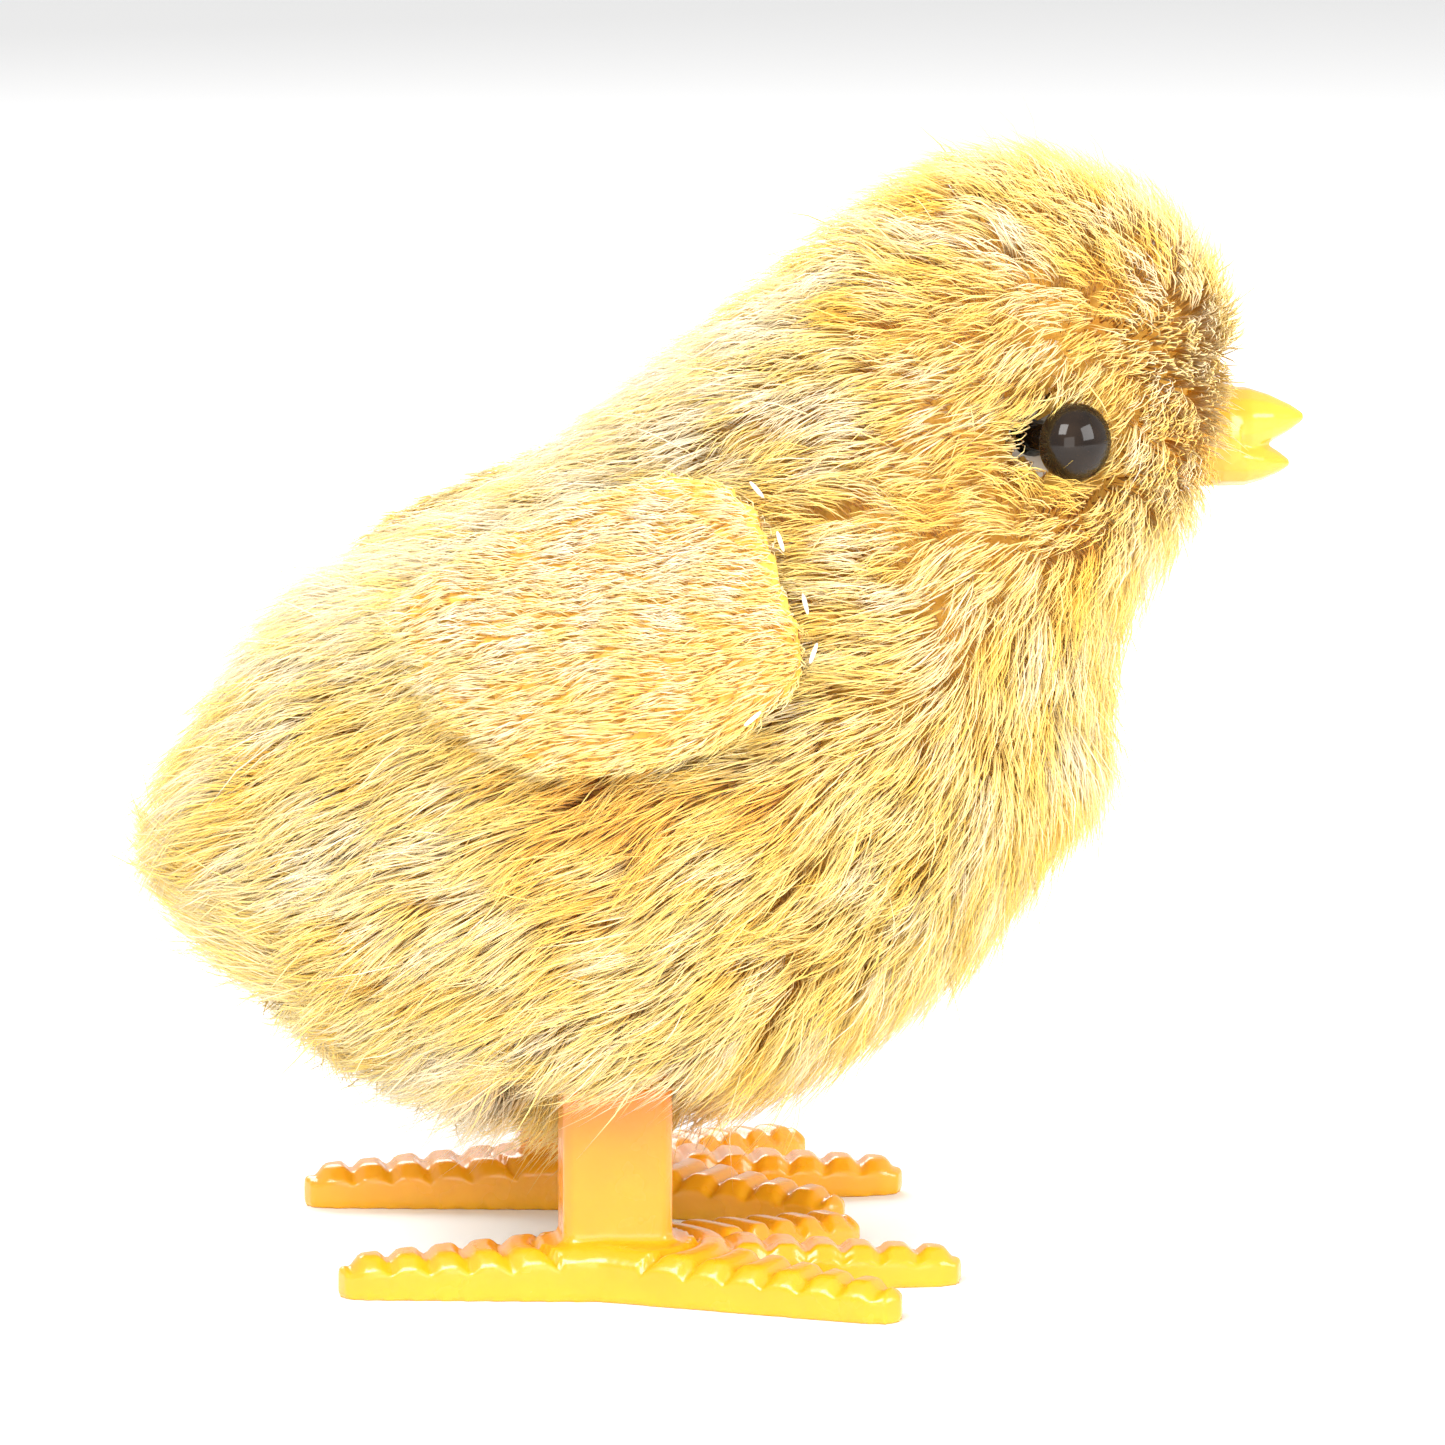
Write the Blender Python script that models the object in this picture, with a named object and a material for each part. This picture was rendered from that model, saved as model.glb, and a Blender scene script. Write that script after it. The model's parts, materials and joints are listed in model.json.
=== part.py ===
# Wind-up hopping chicken: a plush chick over a hard shell, with a spring motor that rocks two
# moulded legs. The chick faces +X, its left side is +Y, and it stands on Z = 0. Every height
# below is measured from the hip axis, and one empty lifts the finished pieces to hipHeight.
import math

import bmesh
import bpy
from mathutils import Matrix, Vector

mm = 0.001
gap = 0.3 * mm                  # clearance between pieces that touch or run in each other
past = 1.0 * mm                 # how far a cutter runs past the face that it opens
beyond = 30.0 * mm              # a cutter's far end, outside the body
hipHeight = 21.8 * mm           # hip axis above the ground
bodyWidth = 49.6 * mm

# ---- body: one section per height, (height, rear X, front X, share of the width, egg skew) ----
bodySections = [
    (-11.6, -18.5, -3.0, 0.544, 0.00),
    (-9.6, -24.0, 4.4, 0.750, 0.00),
    (-6.3, -29.0, 10.6, 0.895, 0.03),
    (-1.3, -34.8, 17.0, 0.984, 0.06),
    (4.2, -38.6, 21.2, 1.000, 0.08),
    (10.2, -38.0, 25.6, 0.992, 0.10),
    (16.2, -33.4, 25.6, 0.952, 0.12),
    (22.2, -29.0, 27.2, 0.879, 0.14),
    (27.2, -19.4, 31.6, 0.734, 0.22),
    (32.2, -11.0, 33.4, 0.621, 0.22),
    (38.2, -3.4, 34.2, 0.589, 0.14),
    (43.7, 4.0, 33.4, 0.516, 0.06),
    (48.2, 9.0, 29.4, 0.379, 0.00),
    (51.0, 14.2, 23.6, 0.202, 0.00),
]
bodyBottom = Vector((-9.0, 0.0, -12.4)) * mm
bodyTop = Vector((18.6, 0.0, 52.0)) * mm
bodyAround = 24                 # points round each section
skinThickness = 4.2 * mm        # backing cloth with its pile
shellThickness = 1.3 * mm
shellScrews = {"front": Vector((17.5, 0.0, 24.2)) * mm, "rear": Vector((-25.0, 0.0, 8.2)) * mm}
shellBossRadius = 2.4 * mm
shellScrewRadius = 1.0 * mm
shellScrewHead = 1.7 * mm
shellScrewSeat = 4.2 * mm       # the head's seat, from the middle
shellScrewReach = 5.6 * mm      # how far its thread reaches into the left half
shellScrewCrown = 1.3 * mm

# ---- spring motor: axes as X, Z ----
gearModule = 0.4 * mm
greatTeeth = 36
secondPinionTeeth = 9
secondTeeth = 27
crankPinionTeeth = 9
crankTeeth = 24
escapePinionTeeth = 8
escapeTeeth = 12
escapeRadius = 3.5 * mm
escapeRoot = 2.5 * mm
arborAt = Vector((0.7, 0.0, 7.4)) * mm
hipAt = Vector((-9.2, 0.0, 0.0)) * mm
crankHeight = 9.2 * mm          # crank axis above the hip axis
escapeBearing = math.radians(200)
vergeReach = 5.4 * mm           # escape axis to verge axis
vergeBearing = math.radians(262)
pivotRadius = 0.8 * mm
hipRadius = 1.0 * mm
arborRadius = 1.9 * mm
knobShaftRadius = 1.4 * mm
ratchetTeeth = 12
ratchetRadius = 3.2 * mm
ratchetRoot = 2.7 * mm
clickHubRadius = 1.3 * mm
clickRoom = 0.7 * mm            # between the ratchet's tips and the click's hub
clickStudRadius = 0.6 * mm
clickHeel = 0.9 * mm
clickBearing = math.radians(35)
clickLead = math.radians(46)    # the beak's place ahead of the stud
springStrip = 0.3 * mm
springRadius = 6.2 * mm
springTurns = 4.25
pillarRadius = 0.8 * mm

# ---- motor case ----
caseHalfWidth = 8.4 * mm
caseWall = 1.2 * mm
caseRear = -22.2 * mm
caseFront = 10.0 * mm
caseBottom = -2.4 * mm
caseTop = 22.6 * mm
caseCorners = {"top_front": 3.0 * mm, "top_rear": 16.0 * mm, "low_rear": 3.0 * mm, "low_front": 10.4 * mm}
caseScrewInset = 2.6 * mm
caseRearScrewAt = Vector((-14.5, 0.0, 17.2)) * mm
casePads = [Vector((6.6, 0.0, 2.8)) * mm, Vector((-17.6, 0.0, 13.6)) * mm]
casePadRadius = 2.2 * mm
screwShankRadius = 0.75 * mm
screwHeadRadius = 1.5 * mm
bossRadius = 1.9 * mm
caseScrewReach = 5.5 * mm
caseScrewHead = 1.1 * mm

# ---- crank and legs ----
crankThrow = 1.6 * mm
crankDiscRadius = 3.2 * mm
crankDiscThickness = 1.4 * mm
crankPinRadius = 0.7 * mm
legTrack = 15.0 * mm            # centre plane of each leg from the middle
legWidth = 7.2 * mm
plateTopShare = 0.60            # width of the drive plate's top against the leg's
postThickness = 5.0 * mm
plateThickness = 2.2 * mm
plateInset = 0.3 * mm           # the drive plate's middle, inward of the track
postTop = -7.8 * mm
postCorner = 0.6 * mm
legRock = math.radians(10)
slotRoom = 0.8 * mm             # room before and behind a rocking leg
slotSide = 0.6 * mm             # room beside it
slotTop = -2.2 * mm
hipCapRadius = 1.9 * mm
hipCapThickness = 0.8 * mm

# ---- feet ----
toeLengths = {"front": 23.0 * mm, "side": 21.2 * mm, "back": 18.3 * mm}
footRoom = 2.1 * mm              # each foot's inner toe stays this far from the middle
toeRootHalfWidth = 2.5 * mm
toeTipHalfWidth = 1.7 * mm
footHubRadius = 4.2 * mm
footTipHeight = 1.5 * mm
footHubHeight = 3.0 * mm
footShoulder = 0.9 * mm

# ---- knob, beak, eyes, wings ----
knobRadius = 4.6 * mm
knobSink = 1.1 * mm             # how far the knob's back sits in the pile
knobThickness = 3.8 * mm
knobBar = 2.0 * mm
knobSocket = 1.6 * mm
beakAt = Vector((33.4, 0.0, 32.2)) * mm
beakRadius = 3.4 * mm
beakFlangeRim = 1.0 * mm
beakFlangeSeat = -8.6 * mm      # front face of the flange, from the beak's root
beakFlangeThickness = 1.0 * mm
eyeAt = Vector((21.9, 0.0, 33.7)) * mm
eyeRadius = 2.6 * mm
eyeTurn = math.radians(37)      # how far each eye looks forward from straight out
eyeSink = 1.0 * mm              # how deep its rim sits in the pile
eyeShankRadius = 1.0 * mm
eyeShankEnd = -7.2 * mm
eyeShoulder = -2.7 * mm
wingGap = 0.9 * mm
wingStand = 10.0 * mm           # how far its top edge stands from the middle, clear of the back
wingLean = 0.35                 # outward lean below that
wingThickness = 2.6 * mm
wingRim = 0.4                   # height of its widest line, as a share of its thickness
wingOutline = [
    (0.0, 31.0), (1.4, 27.3), (2.8, 22.3), (1.9, 19.0), (-3.1, 15.8), (-9.0, 14.0), (-14.7, 13.8),
    (-19.9, 16.4), (-23.1, 20.3), (-23.5, 24.0), (-19.1, 27.1), (-11.9, 30.3), (-4.8, 32.3),
]
wingHingeTop = Vector((0.0, 0.0, 31.0)) * mm
wingHingeBottom = Vector((2.8, 0.0, 22.3)) * mm

# ---- layers of the train along Y, (right face, left face) ----
greatLayer = (0.8 * mm, 2.2 * mm)
springLayer = (2.7 * mm, 6.7 * mm)
ratchetLayer = (-0.6 * mm, 0.5 * mm)
secondLayer = (-2.4 * mm, -1.2 * mm)
crankLayer = (-4.6 * mm, -3.4 * mm)
escapeLayer = (-6.6 * mm, -5.5 * mm)

sides = {"left": 1, "right": -1}
pi = math.pi


def pitchRadius(teeth):
    return teeth * gearModule / 2


def onXZ(start, distance, bearing):
    return start + Vector((math.cos(bearing), 0, math.sin(bearing))) * distance


def meetingPoint(first, firstReach, second, secondReach):
    """The upper point at the two given reaches from two axes, in the XZ plane."""
    across = second - first
    along = (firstReach**2 - secondReach**2 + across.length_squared) / (2 * across.length)
    aside = math.sqrt(firstReach**2 - along**2)
    way = across.normalized()
    up = Vector((-way.z, 0, way.x))
    up = up if up.z > 0 else -up
    return first + way * along + up * aside


crankAt = hipAt + Vector((0, 0, crankHeight))
secondAt = meetingPoint(
    arborAt, pitchRadius(greatTeeth + secondPinionTeeth),
    crankAt, pitchRadius(secondTeeth + crankPinionTeeth),
)
escapeAt = onXZ(crankAt, pitchRadius(crankTeeth + escapePinionTeeth), escapeBearing)
vergeAt = onXZ(escapeAt, vergeReach, vergeBearing)


# ------------------------------------------------------------------ building helpers

def clearScene():
    for item in list(bpy.data.objects):
        bpy.data.objects.remove(item)


def addHipLine():
    """The empty that holds every piece at the hip's height."""
    line = bpy.data.objects.new("hip_line", None)
    bpy.context.scene.collection.objects.link(line)
    line.location.z = hipHeight


def makeMaterial(name, color, roughness, metallic=0.0):
    material = bpy.data.materials.new(name)
    material.use_nodes = True
    shader = material.node_tree.nodes["Principled BSDF"]
    shader.inputs["Base Color"].default_value = (*color, 1)
    shader.inputs["Roughness"].default_value = roughness
    shader.inputs["Metallic"].default_value = metallic
    material.diffuse_color = (*color, 1)
    return material


def addPiece(name, shape):
    """Turn a bmesh into an object with outward faces."""
    bmesh.ops.recalc_face_normals(shape, faces=shape.faces)
    if shape.calc_volume(signed=True) < 0:
        bmesh.ops.reverse_faces(shape, faces=shape.faces)
    mesh = bpy.data.meshes.new(name)
    shape.to_mesh(mesh)
    shape.free()
    piece = bpy.data.objects.new(name, mesh)
    bpy.context.scene.collection.objects.link(piece)
    return piece


def combine(target, tool, operation):
    """Join the tool to the target, cut it away, or keep what both share, and drop the tool."""
    change = target.modifiers.new(operation.lower(), "BOOLEAN")
    change.operation = operation
    change.object = tool
    graph = bpy.context.evaluated_depsgraph_get()
    result = bpy.data.meshes.new_from_object(target.evaluated_get(graph))
    target.modifiers.clear()
    target.data = result
    bpy.data.objects.remove(tool)


def finish(piece, material, axisPoint=(0, 0, 0)):
    """Give the piece its material, put its origin on its axis and lift it to the hip's height."""
    point = Vector(axisPoint)
    piece.data.transform(Matrix.Translation(-point))
    piece.location = point
    piece.parent = bpy.data.objects["hip_line"]
    piece.data.materials.clear()
    piece.data.materials.append(material)
    piece.data.shade_smooth()
    piece.data.set_sharp_from_angle(angle=math.radians(35))


def prism(name, outline, low, high, along="Y"):
    """Extrude an outline of (X, Z) points along Y, or of (X, Y) points along Z."""
    shape = bmesh.new()
    if along == "Y":
        corners = [shape.verts.new((x, low, z)) for x, z in outline]
        step = Vector((0, high - low, 0))
    else:
        corners = [shape.verts.new((x, y, low)) for x, y in outline]
        step = Vector((0, 0, high - low))
    base = shape.faces.new(corners)
    pushed = bmesh.ops.extrude_face_region(shape, geom=[base])
    moved = [item for item in pushed["geom"] if isinstance(item, bmesh.types.BMVert)]
    bmesh.ops.translate(shape, verts=moved, vec=step)
    return addPiece(name, shape)


def circleOutline(center, radius, count):
    turn = [2 * pi * (step + 0.5) / count for step in range(count)]
    return [(center.x + radius * math.cos(a), center.z + radius * math.sin(a)) for a in turn]


def rod(name, center, radius, low, high, count=16):
    return prism(name, circleOutline(center, radius, count), low, high)


def turned(name, steps, count, place):
    """A turned solid: (distance along the axis, radius) steps from one capped end to the other."""
    shape = bmesh.new()
    start, radius = steps[0]
    bmesh.ops.create_circle(shape, cap_ends=True, radius=radius, segments=count)
    bmesh.ops.translate(shape, verts=shape.verts, vec=(0, 0, start))
    cap = base = shape.faces[:][0]
    for distance, nextRadius in steps[1:]:
        pushed = bmesh.ops.extrude_face_region(shape, geom=[cap])["geom"]
        ring = [item for item in pushed if isinstance(item, bmesh.types.BMVert)]
        if cap is not base:
            bmesh.ops.delete(shape, geom=[cap], context="FACES_ONLY")
        cap = [item for item in pushed if isinstance(item, bmesh.types.BMFace)][0]
        grow = nextRadius / radius
        bmesh.ops.scale(shape, verts=ring, vec=(grow, grow, 1))
        bmesh.ops.translate(shape, verts=ring, vec=(0, 0, distance - start))
        start, radius = distance, nextRadius
    bmesh.ops.transform(shape, matrix=place, verts=shape.verts)
    return addPiece(name, shape)


def alongY(center, side=1):
    """Places a turned solid's axis on a line along Y, pointing out to the given side."""
    return Matrix.Translation(center) @ Matrix.Rotation(-side * pi / 2, 4, "X")


def gearOutline(center, teeth, phase, tipWidth=0.30, rootWidth=0.58):
    """Straight-flanked teeth. The widths are shares of one tooth pitch."""
    pitch = 2 * pi / teeth
    root = pitchRadius(teeth) - 1.2 * gearModule
    tip = pitchRadius(teeth) + 0.9 * gearModule
    outline = []
    for tooth in range(teeth):
        middle = phase + tooth * pitch
        for radius, width in ((root, -rootWidth), (tip, -tipWidth), (tip, tipWidth), (root, rootWidth)):
            angle = middle + width * pitch / 2
            outline.append((center.x + radius * math.cos(angle), center.z + radius * math.sin(angle)))
    return outline


def bearing(start, end):
    return math.atan2(end.z - start.z, end.x - start.x)


def meshedPhase(driver, driverTeeth, driverPhase, driven, drivenTeeth):
    """The phase that puts a space of the driven gear where the driver's tooth comes."""
    facing = bearing(driver, driven)
    share = ((facing - driverPhase) / (2 * pi / driverTeeth)) % 1
    return facing + pi + (share + 0.5) * 2 * pi / drivenTeeth


# ------------------------------------------------------------------ body surface

def sectionAt(height):
    """Rear X, front X, half width and skew at a height, by straight interpolation."""
    rows = []
    for level, rear, front, share, skew in bodySections:
        rows.append((level * mm, rear * mm, front * mm, share * bodyWidth / 2, skew))
    height = min(max(height, rows[0][0]), rows[-1][0])
    for low, high in zip(rows, rows[1:]):
        if height <= high[0]:
            share = (height - low[0]) / (high[0] - low[0])
            return [a + (b - a) * share for a, b in zip(low[1:], high[1:])]
    return list(rows[-1][1:])


def sectionPoint(section, angle):
    rear, front, halfWidth, skew = section
    x = (rear + front) / 2 + (front - rear) / 2 * math.cos(angle)
    y = halfWidth * math.sin(angle) * (1 + skew * math.cos(angle))
    return x, y


def bodyHalfWidth(x, z):
    """How far the plush reaches out to the side at X, Z."""
    section = sectionAt(z)
    rear, front = section[:2]
    share = (2 * x - rear - front) / (front - rear)
    return sectionPoint(section, math.acos(min(max(share, -1), 1)))[1]


def bodySolid(name, depth):
    """The body's solid, drawn in by the given depth from the plush surface."""
    shape = bmesh.new()
    levels = len(bodySections)
    bmesh.ops.create_uvsphere(shape, u_segments=bodyAround, v_segments=levels + 1, radius=1)
    for vert in shape.verts:
        latitude = math.asin(min(max(vert.co.z, -1), 1)) / pi + 0.5
        level = round(latitude * (levels + 1))
        if level == 0:
            vert.co = bodyBottom
        elif level == levels + 1:
            vert.co = bodyTop
        else:
            angle = math.atan2(vert.co.y, vert.co.x)
            height = bodySections[level - 1][0] * mm
            x, y = sectionPoint(sectionAt(height), angle)
            vert.co = (x, y, height)
    bmesh.ops.recalc_face_normals(shape, faces=shape.faces)
    if depth:
        shape.normal_update()
        inward = {vert: vert.normal * depth * min(vert.calc_shell_factor(), 1.3) for vert in shape.verts}
        for vert, step in inward.items():
            vert.co -= step
    bmesh.ops.triangulate(shape, faces=shape.faces)
    return addPiece(name, shape)


def legSlot(side):
    """The space that a rocking leg needs through the underside."""
    sway = (hipAt.z - bodyBottom.z) * math.tan(legRock)
    reach = legWidth / 2 + sway + slotRoom
    floor = bodyBottom.z - past
    outline = [(hipAt.x - reach, floor), (hipAt.x + reach, floor)]
    outline += [(hipAt.x + reach, slotTop), (hipAt.x - reach, slotTop)]
    inner = legTrack - postThickness / 2 - slotSide
    outer = legTrack + postThickness / 2 + slotSide
    low, high = sorted((side * inner, side * outer))
    return prism("leg_slot", outline, low, high)


def eyePlace(side):
    """The eye's frame, its axis pointing out of the head."""
    surface = Vector((eyeAt.x, side * bodyHalfWidth(eyeAt.x, eyeAt.z), eyeAt.z))
    turn = Matrix.Rotation(side * (pi / 2 - eyeTurn), 4, "Z") @ Matrix.Rotation(pi / 2, 4, "Y")
    return Matrix.Translation(surface) @ turn @ Matrix.Translation((0, 0, -eyeSink))


def beakPlace():
    return Matrix.Translation(beakAt) @ Matrix.Rotation(pi / 2, 4, "Y")


def openSide(piece, side, eyeHole):
    """Cut the holes that a leg and an eye pass through, and the knob shaft's on the left."""
    combine(piece, legSlot(side), "DIFFERENCE")
    steps = [(eyeShankEnd - 2 * past, eyeHole), (5 * past, eyeHole)]
    cutter = turned("eye_hole", steps, 16, eyePlace(side))
    combine(piece, cutter, "DIFFERENCE")
    if side > 0:
        shaftHole = knobShaftRadius + 2 * gap
        combine(piece, rod("knob_hole", arborAt, shaftHole, caseHalfWidth + gap, beyond), "DIFFERENCE")


def openBeak(piece):
    """The beak's neck hole, with room for its flange behind."""
    neck = beakRadius + gap
    flange = beakRadius + beakFlangeRim + gap
    seat = beakFlangeSeat + gap
    back = beakFlangeSeat - beakFlangeThickness - 4 * past
    steps = [(back, flange), (seat, flange), (seat, neck), (4 * past, neck)]
    combine(piece, turned("beak_hole", steps, 20, beakPlace()), "DIFFERENCE")


# ------------------------------------------------------------------ plush and shell

def buildSkin():
    skin = bodySolid("plush_skin", 0)
    combine(skin, bodySolid("skin_hollow", skinThickness), "DIFFERENCE")
    for side in sides.values():
        openSide(skin, side, eyeRadius + gap)
    openBeak(skin)
    pocket = rod("knob_pocket", arborAt, knobRadius + 2 * gap, knobInner - gap, beyond, 20)
    combine(skin, pocket, "DIFFERENCE")
    finish(skin, makeMaterial("plush_yellow", (0.95, 0.80, 0.36), 0.95))


def shellHalf(key, side):
    """One hard half: its outer form, hollowed round the screw bosses and the motor's pads."""
    half = bodySolid("body_shell_" + key, skinThickness + gap)
    low, high = sorted((side * gap / 2, -side * 1.2 * beyond))
    floor, roof = bodyBottom.z - past, bodyTop.z + past
    corners = [(-2 * beyond, floor), (2 * beyond, floor), (2 * beyond, roof), (-2 * beyond, roof)]
    combine(half, prism("other_half", corners, low, high), "DIFFERENCE")
    hollow = bodySolid("shell_hollow", skinThickness + gap + shellThickness)
    low, high = sorted((-side * past, side * beyond))
    for center in shellScrews.values():
        combine(hollow, rod("boss", center, shellBossRadius, low, high, 14), "DIFFERENCE")
    low, high = sorted((side * (caseHalfWidth + gap), side * beyond))
    for center in casePads:
        combine(hollow, rod("pad", center, casePadRadius, low, high, 14), "DIFFERENCE")
    combine(half, hollow, "DIFFERENCE")
    openSide(half, side, eyeShankRadius + gap)
    openBeak(half)
    return half


def buildShells():
    """Two hard halves, screwed together from the right."""
    for key, side in sides.items():
        half = shellHalf(key, side)
        for center in shellScrews.values():
            hole = shellScrewRadius + gap
            if side > 0:
                combine(half, rod("thread", center, hole, -past, shellScrewReach + gap, 12), "DIFFERENCE")
            else:
                combine(half, rod("clear", center, hole, -shellScrewSeat - past, past, 12), "DIFFERENCE")
                bore = rod("head_bore", center, shellScrewHead + gap, -beyond, -shellScrewSeat, 12)
                combine(half, bore, "DIFFERENCE")
        finish(half, makeMaterial("shell_plastic_" + key, (0.93, 0.91, 0.86), 0.45))
    for place, center in shellScrews.items():
        under = shellScrewSeat + gap
        crown = under + shellScrewCrown
        steps = [(-shellScrewReach, shellScrewRadius), (under, shellScrewRadius), (under, shellScrewHead)]
        steps += [(crown - shellScrewCrown / 3, shellScrewHead), (crown, shellScrewHead * 0.6)]
        screw = turned("shell_screw_" + place, steps, 12, alongY(center, -1))
        finish(screw, makeMaterial("shell_screw_" + place, (0.55, 0.55, 0.57), 0.35, 1.0))


# ------------------------------------------------------------------ wings, eyes, beak

def smoothOutline(points, between):
    """A closed Catmull-Rom curve through the points."""
    outline = []
    count = len(points)
    for index in range(count):
        a, b, c, d = (Vector(points[(index + shift) % count]) for shift in (-1, 0, 1, 2))
        for step in range(between):
            t = step / between
            curved = b * 2 + (c - a) * t + (a * 2 - b * 5 + c * 4 - d) * t**2
            curved += (b * 3 - a - c * 3 + d) * t**3
            outline.append(curved / 2)
    return outline


def wingReach(x, z):
    """How far out the wing's inner face lies: on the plush, or on its own leaning plane."""
    onPlush = bodyHalfWidth(x, z)
    onPlane = wingStand + (wingHingeTop.z - z) * wingLean
    between = math.hypot(onPlush - onPlane, wingThickness)
    return wingGap + (onPlush + onPlane + between) / 2


def wingHinge(side):
    """A point on the wing's seam and the seam's direction, bottom to top."""
    ends = []
    for point in (wingHingeBottom, wingHingeTop):
        ends.append(Vector((point.x, side * wingReach(point.x, point.z), point.z)))
    return (ends[0] + ends[1]) / 2, (ends[1] - ends[0]).normalized()


def buildWing(key, side):
    """A padded petal that lies on the plush and hinges on its stitched front edge."""
    outline = smoothOutline(wingOutline, 2)
    middle = sum(outline, Vector((0, 0))) / len(outline)
    shape = bmesh.new()
    bmesh.ops.create_uvsphere(shape, u_segments=len(outline), v_segments=8, radius=1)
    for vert in shape.verts:
        spread = min(vert.co.xy.length, 1)
        turn = math.atan2(vert.co.y, vert.co.x) / (2 * pi) + 0.25      # the ball's first meridian is at -Y
        point = middle + (outline[round(turn * len(outline))] - middle) * spread
        rise = wingRim + (1 - wingRim) * vert.co.z if vert.co.z > 0 else wingRim * (1 + vert.co.z)
        x, z = point * mm
        vert.co = (x, side * (wingReach(x, z) + wingThickness * rise), z)
    bmesh.ops.triangulate(shape, faces=shape.faces)
    wing = addPiece("wing_" + key, shape)
    finish(wing, makeMaterial("wing_plush_" + key, (0.96, 0.80, 0.38), 0.95), wingHinge(side)[0])


def buildEye(key, side):
    """A glossy bead with a shank through the plush and the shell."""
    steps = [(eyeShankEnd, eyeShankRadius * 0.6), (eyeShankEnd + eyeShankRadius * 0.4, eyeShankRadius)]
    steps += [(eyeShoulder, eyeShankRadius), (eyeShoulder, eyeRadius)]
    for share in (0.0, 0.32, 0.62, 0.86):
        angle = share * pi / 2
        steps.append((eyeRadius * 0.75 * math.sin(angle), eyeRadius * math.cos(angle)))
    eye = turned("eye_" + key, steps, 16, eyePlace(side))
    finish(eye, makeMaterial("eye_black_" + key, (0.012, 0.008, 0.006), 0.06))


def mandible(name, low, high, halfWidth, tip):
    """One tapering half of the open beak, as a row of ever smaller rounded sections."""
    shape = bmesh.new()
    count = 12
    rings = []
    middle = (low + high) / 2
    rootX = beakAt.x - 0.6 * mm
    for share, size in ((0.0, 1.0), (0.35, 0.90), (0.6, 0.68), (0.85, 0.36), (1.0, 0.10)):
        x = rootX + (tip.x - rootX) * share
        z = middle + (tip.z - middle) * share
        ring = []
        for step in range(count):
            angle = 2 * pi * (step + 0.5) / count
            y = halfWidth * size * math.cos(angle)
            ring.append(shape.verts.new((x, y, z + (high - low) / 2 * size * math.sin(angle))))
        edges = [shape.edges.new((ring[i], ring[i - 1])) for i in range(count)]
        rings.append((ring, edges))
    for (_, edges), (_, after) in zip(rings, rings[1:]):
        bmesh.ops.bridge_loops(shape, edges=edges + after)
    for ring, _ in (rings[0], rings[-1]):
        shape.faces.new(ring)
    return addPiece(name, shape)


def buildBeak():
    """One moulding: two mandibles, a round neck and a flange behind the shell."""
    back = beakFlangeSeat - beakFlangeThickness
    flange = beakRadius + beakFlangeRim
    steps = [(back, flange), (beakFlangeSeat, flange), (beakFlangeSeat, beakRadius)]
    steps += [(-0.2 * mm, beakRadius), (0.6 * mm, beakRadius * 0.9)]
    beak = turned("beak", steps, 20, beakPlace())
    upperTip = beakAt + Vector((5.2, 0, 1.2)) * mm
    lowerTip = beakAt + Vector((4.3, 0, -1.9)) * mm
    halfWidth = beakRadius * 0.88
    upperFloor = beakAt.z - beakRadius * 0.42
    lowerRoof = beakAt.z + beakRadius * 0.18
    combine(beak, mandible("upper", upperFloor, beakAt.z + beakRadius, halfWidth, upperTip), "UNION")
    combine(beak, mandible("lower", beakAt.z - beakRadius, lowerRoof, halfWidth, lowerTip), "UNION")
    finish(beak, makeMaterial("beak_yellow", (0.98, 0.62, 0.05), 0.32))


# ------------------------------------------------------------------ legs

toeSplay = math.asin(
    (legTrack - footRoom - toeTipHalfWidth) / (toeLengths["side"] - toeTipHalfWidth)
)


def footOutline(center):
    """Four tapering round-ended toes round a hub, as one closed outline."""
    toes = [("front", 0.0), ("side", toeSplay), ("back", pi), ("side", 2 * pi - toeSplay)]
    outline = []
    for index, (kind, angle) in enumerate(toes):
        forward = Vector((math.cos(angle), math.sin(angle)))
        left = Vector((-forward.y, forward.x))
        bulb = center + forward * (toeLengths[kind] - toeTipHalfWidth)
        for step in range(5):
            swing = -pi / 2 + pi * step / 4
            outline.append(bulb + (forward * math.cos(swing) + left * math.sin(swing)) * toeTipHalfWidth)
        nextAngle = toes[(index + 1) % len(toes)][1]
        between = (nextAngle - angle) % (2 * pi)
        reach = max(toeRootHalfWidth / math.sin(between / 2), footHubRadius)
        way = angle + between / 2
        outline.append(center + Vector((math.cos(way), math.sin(way))) * reach)
    return outline


def buildFoot(name, center):
    """The flat-soled foot. Its top falls from the hub to the toe tips, with sloped shoulders."""
    foot = prism(name, footOutline(center), -hipHeight, footTipHeight - hipHeight, along="Z")
    shape = bmesh.new()
    shape.from_mesh(foot.data)
    bpy.data.objects.remove(foot)
    top = max(shape.faces, key=lambda face: face.calc_center_median().z)
    bmesh.ops.inset_individual(shape, faces=[top], thickness=footShoulder)
    bmesh.ops.translate(shape, verts=top.verts, vec=(0, 0, footShoulder))
    for vert in shape.verts:
        if vert.co.z > past - hipHeight:
            distance = (vert.co.xy - center).length
            share = max(0, 1 - distance / toeLengths["front"])
            vert.co.z += (footHubHeight - footTipHeight) * share
    bmesh.ops.triangulate(shape, faces=[face for face in shape.faces if len(face.verts) > 4])
    return addPiece(name, shape)


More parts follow.
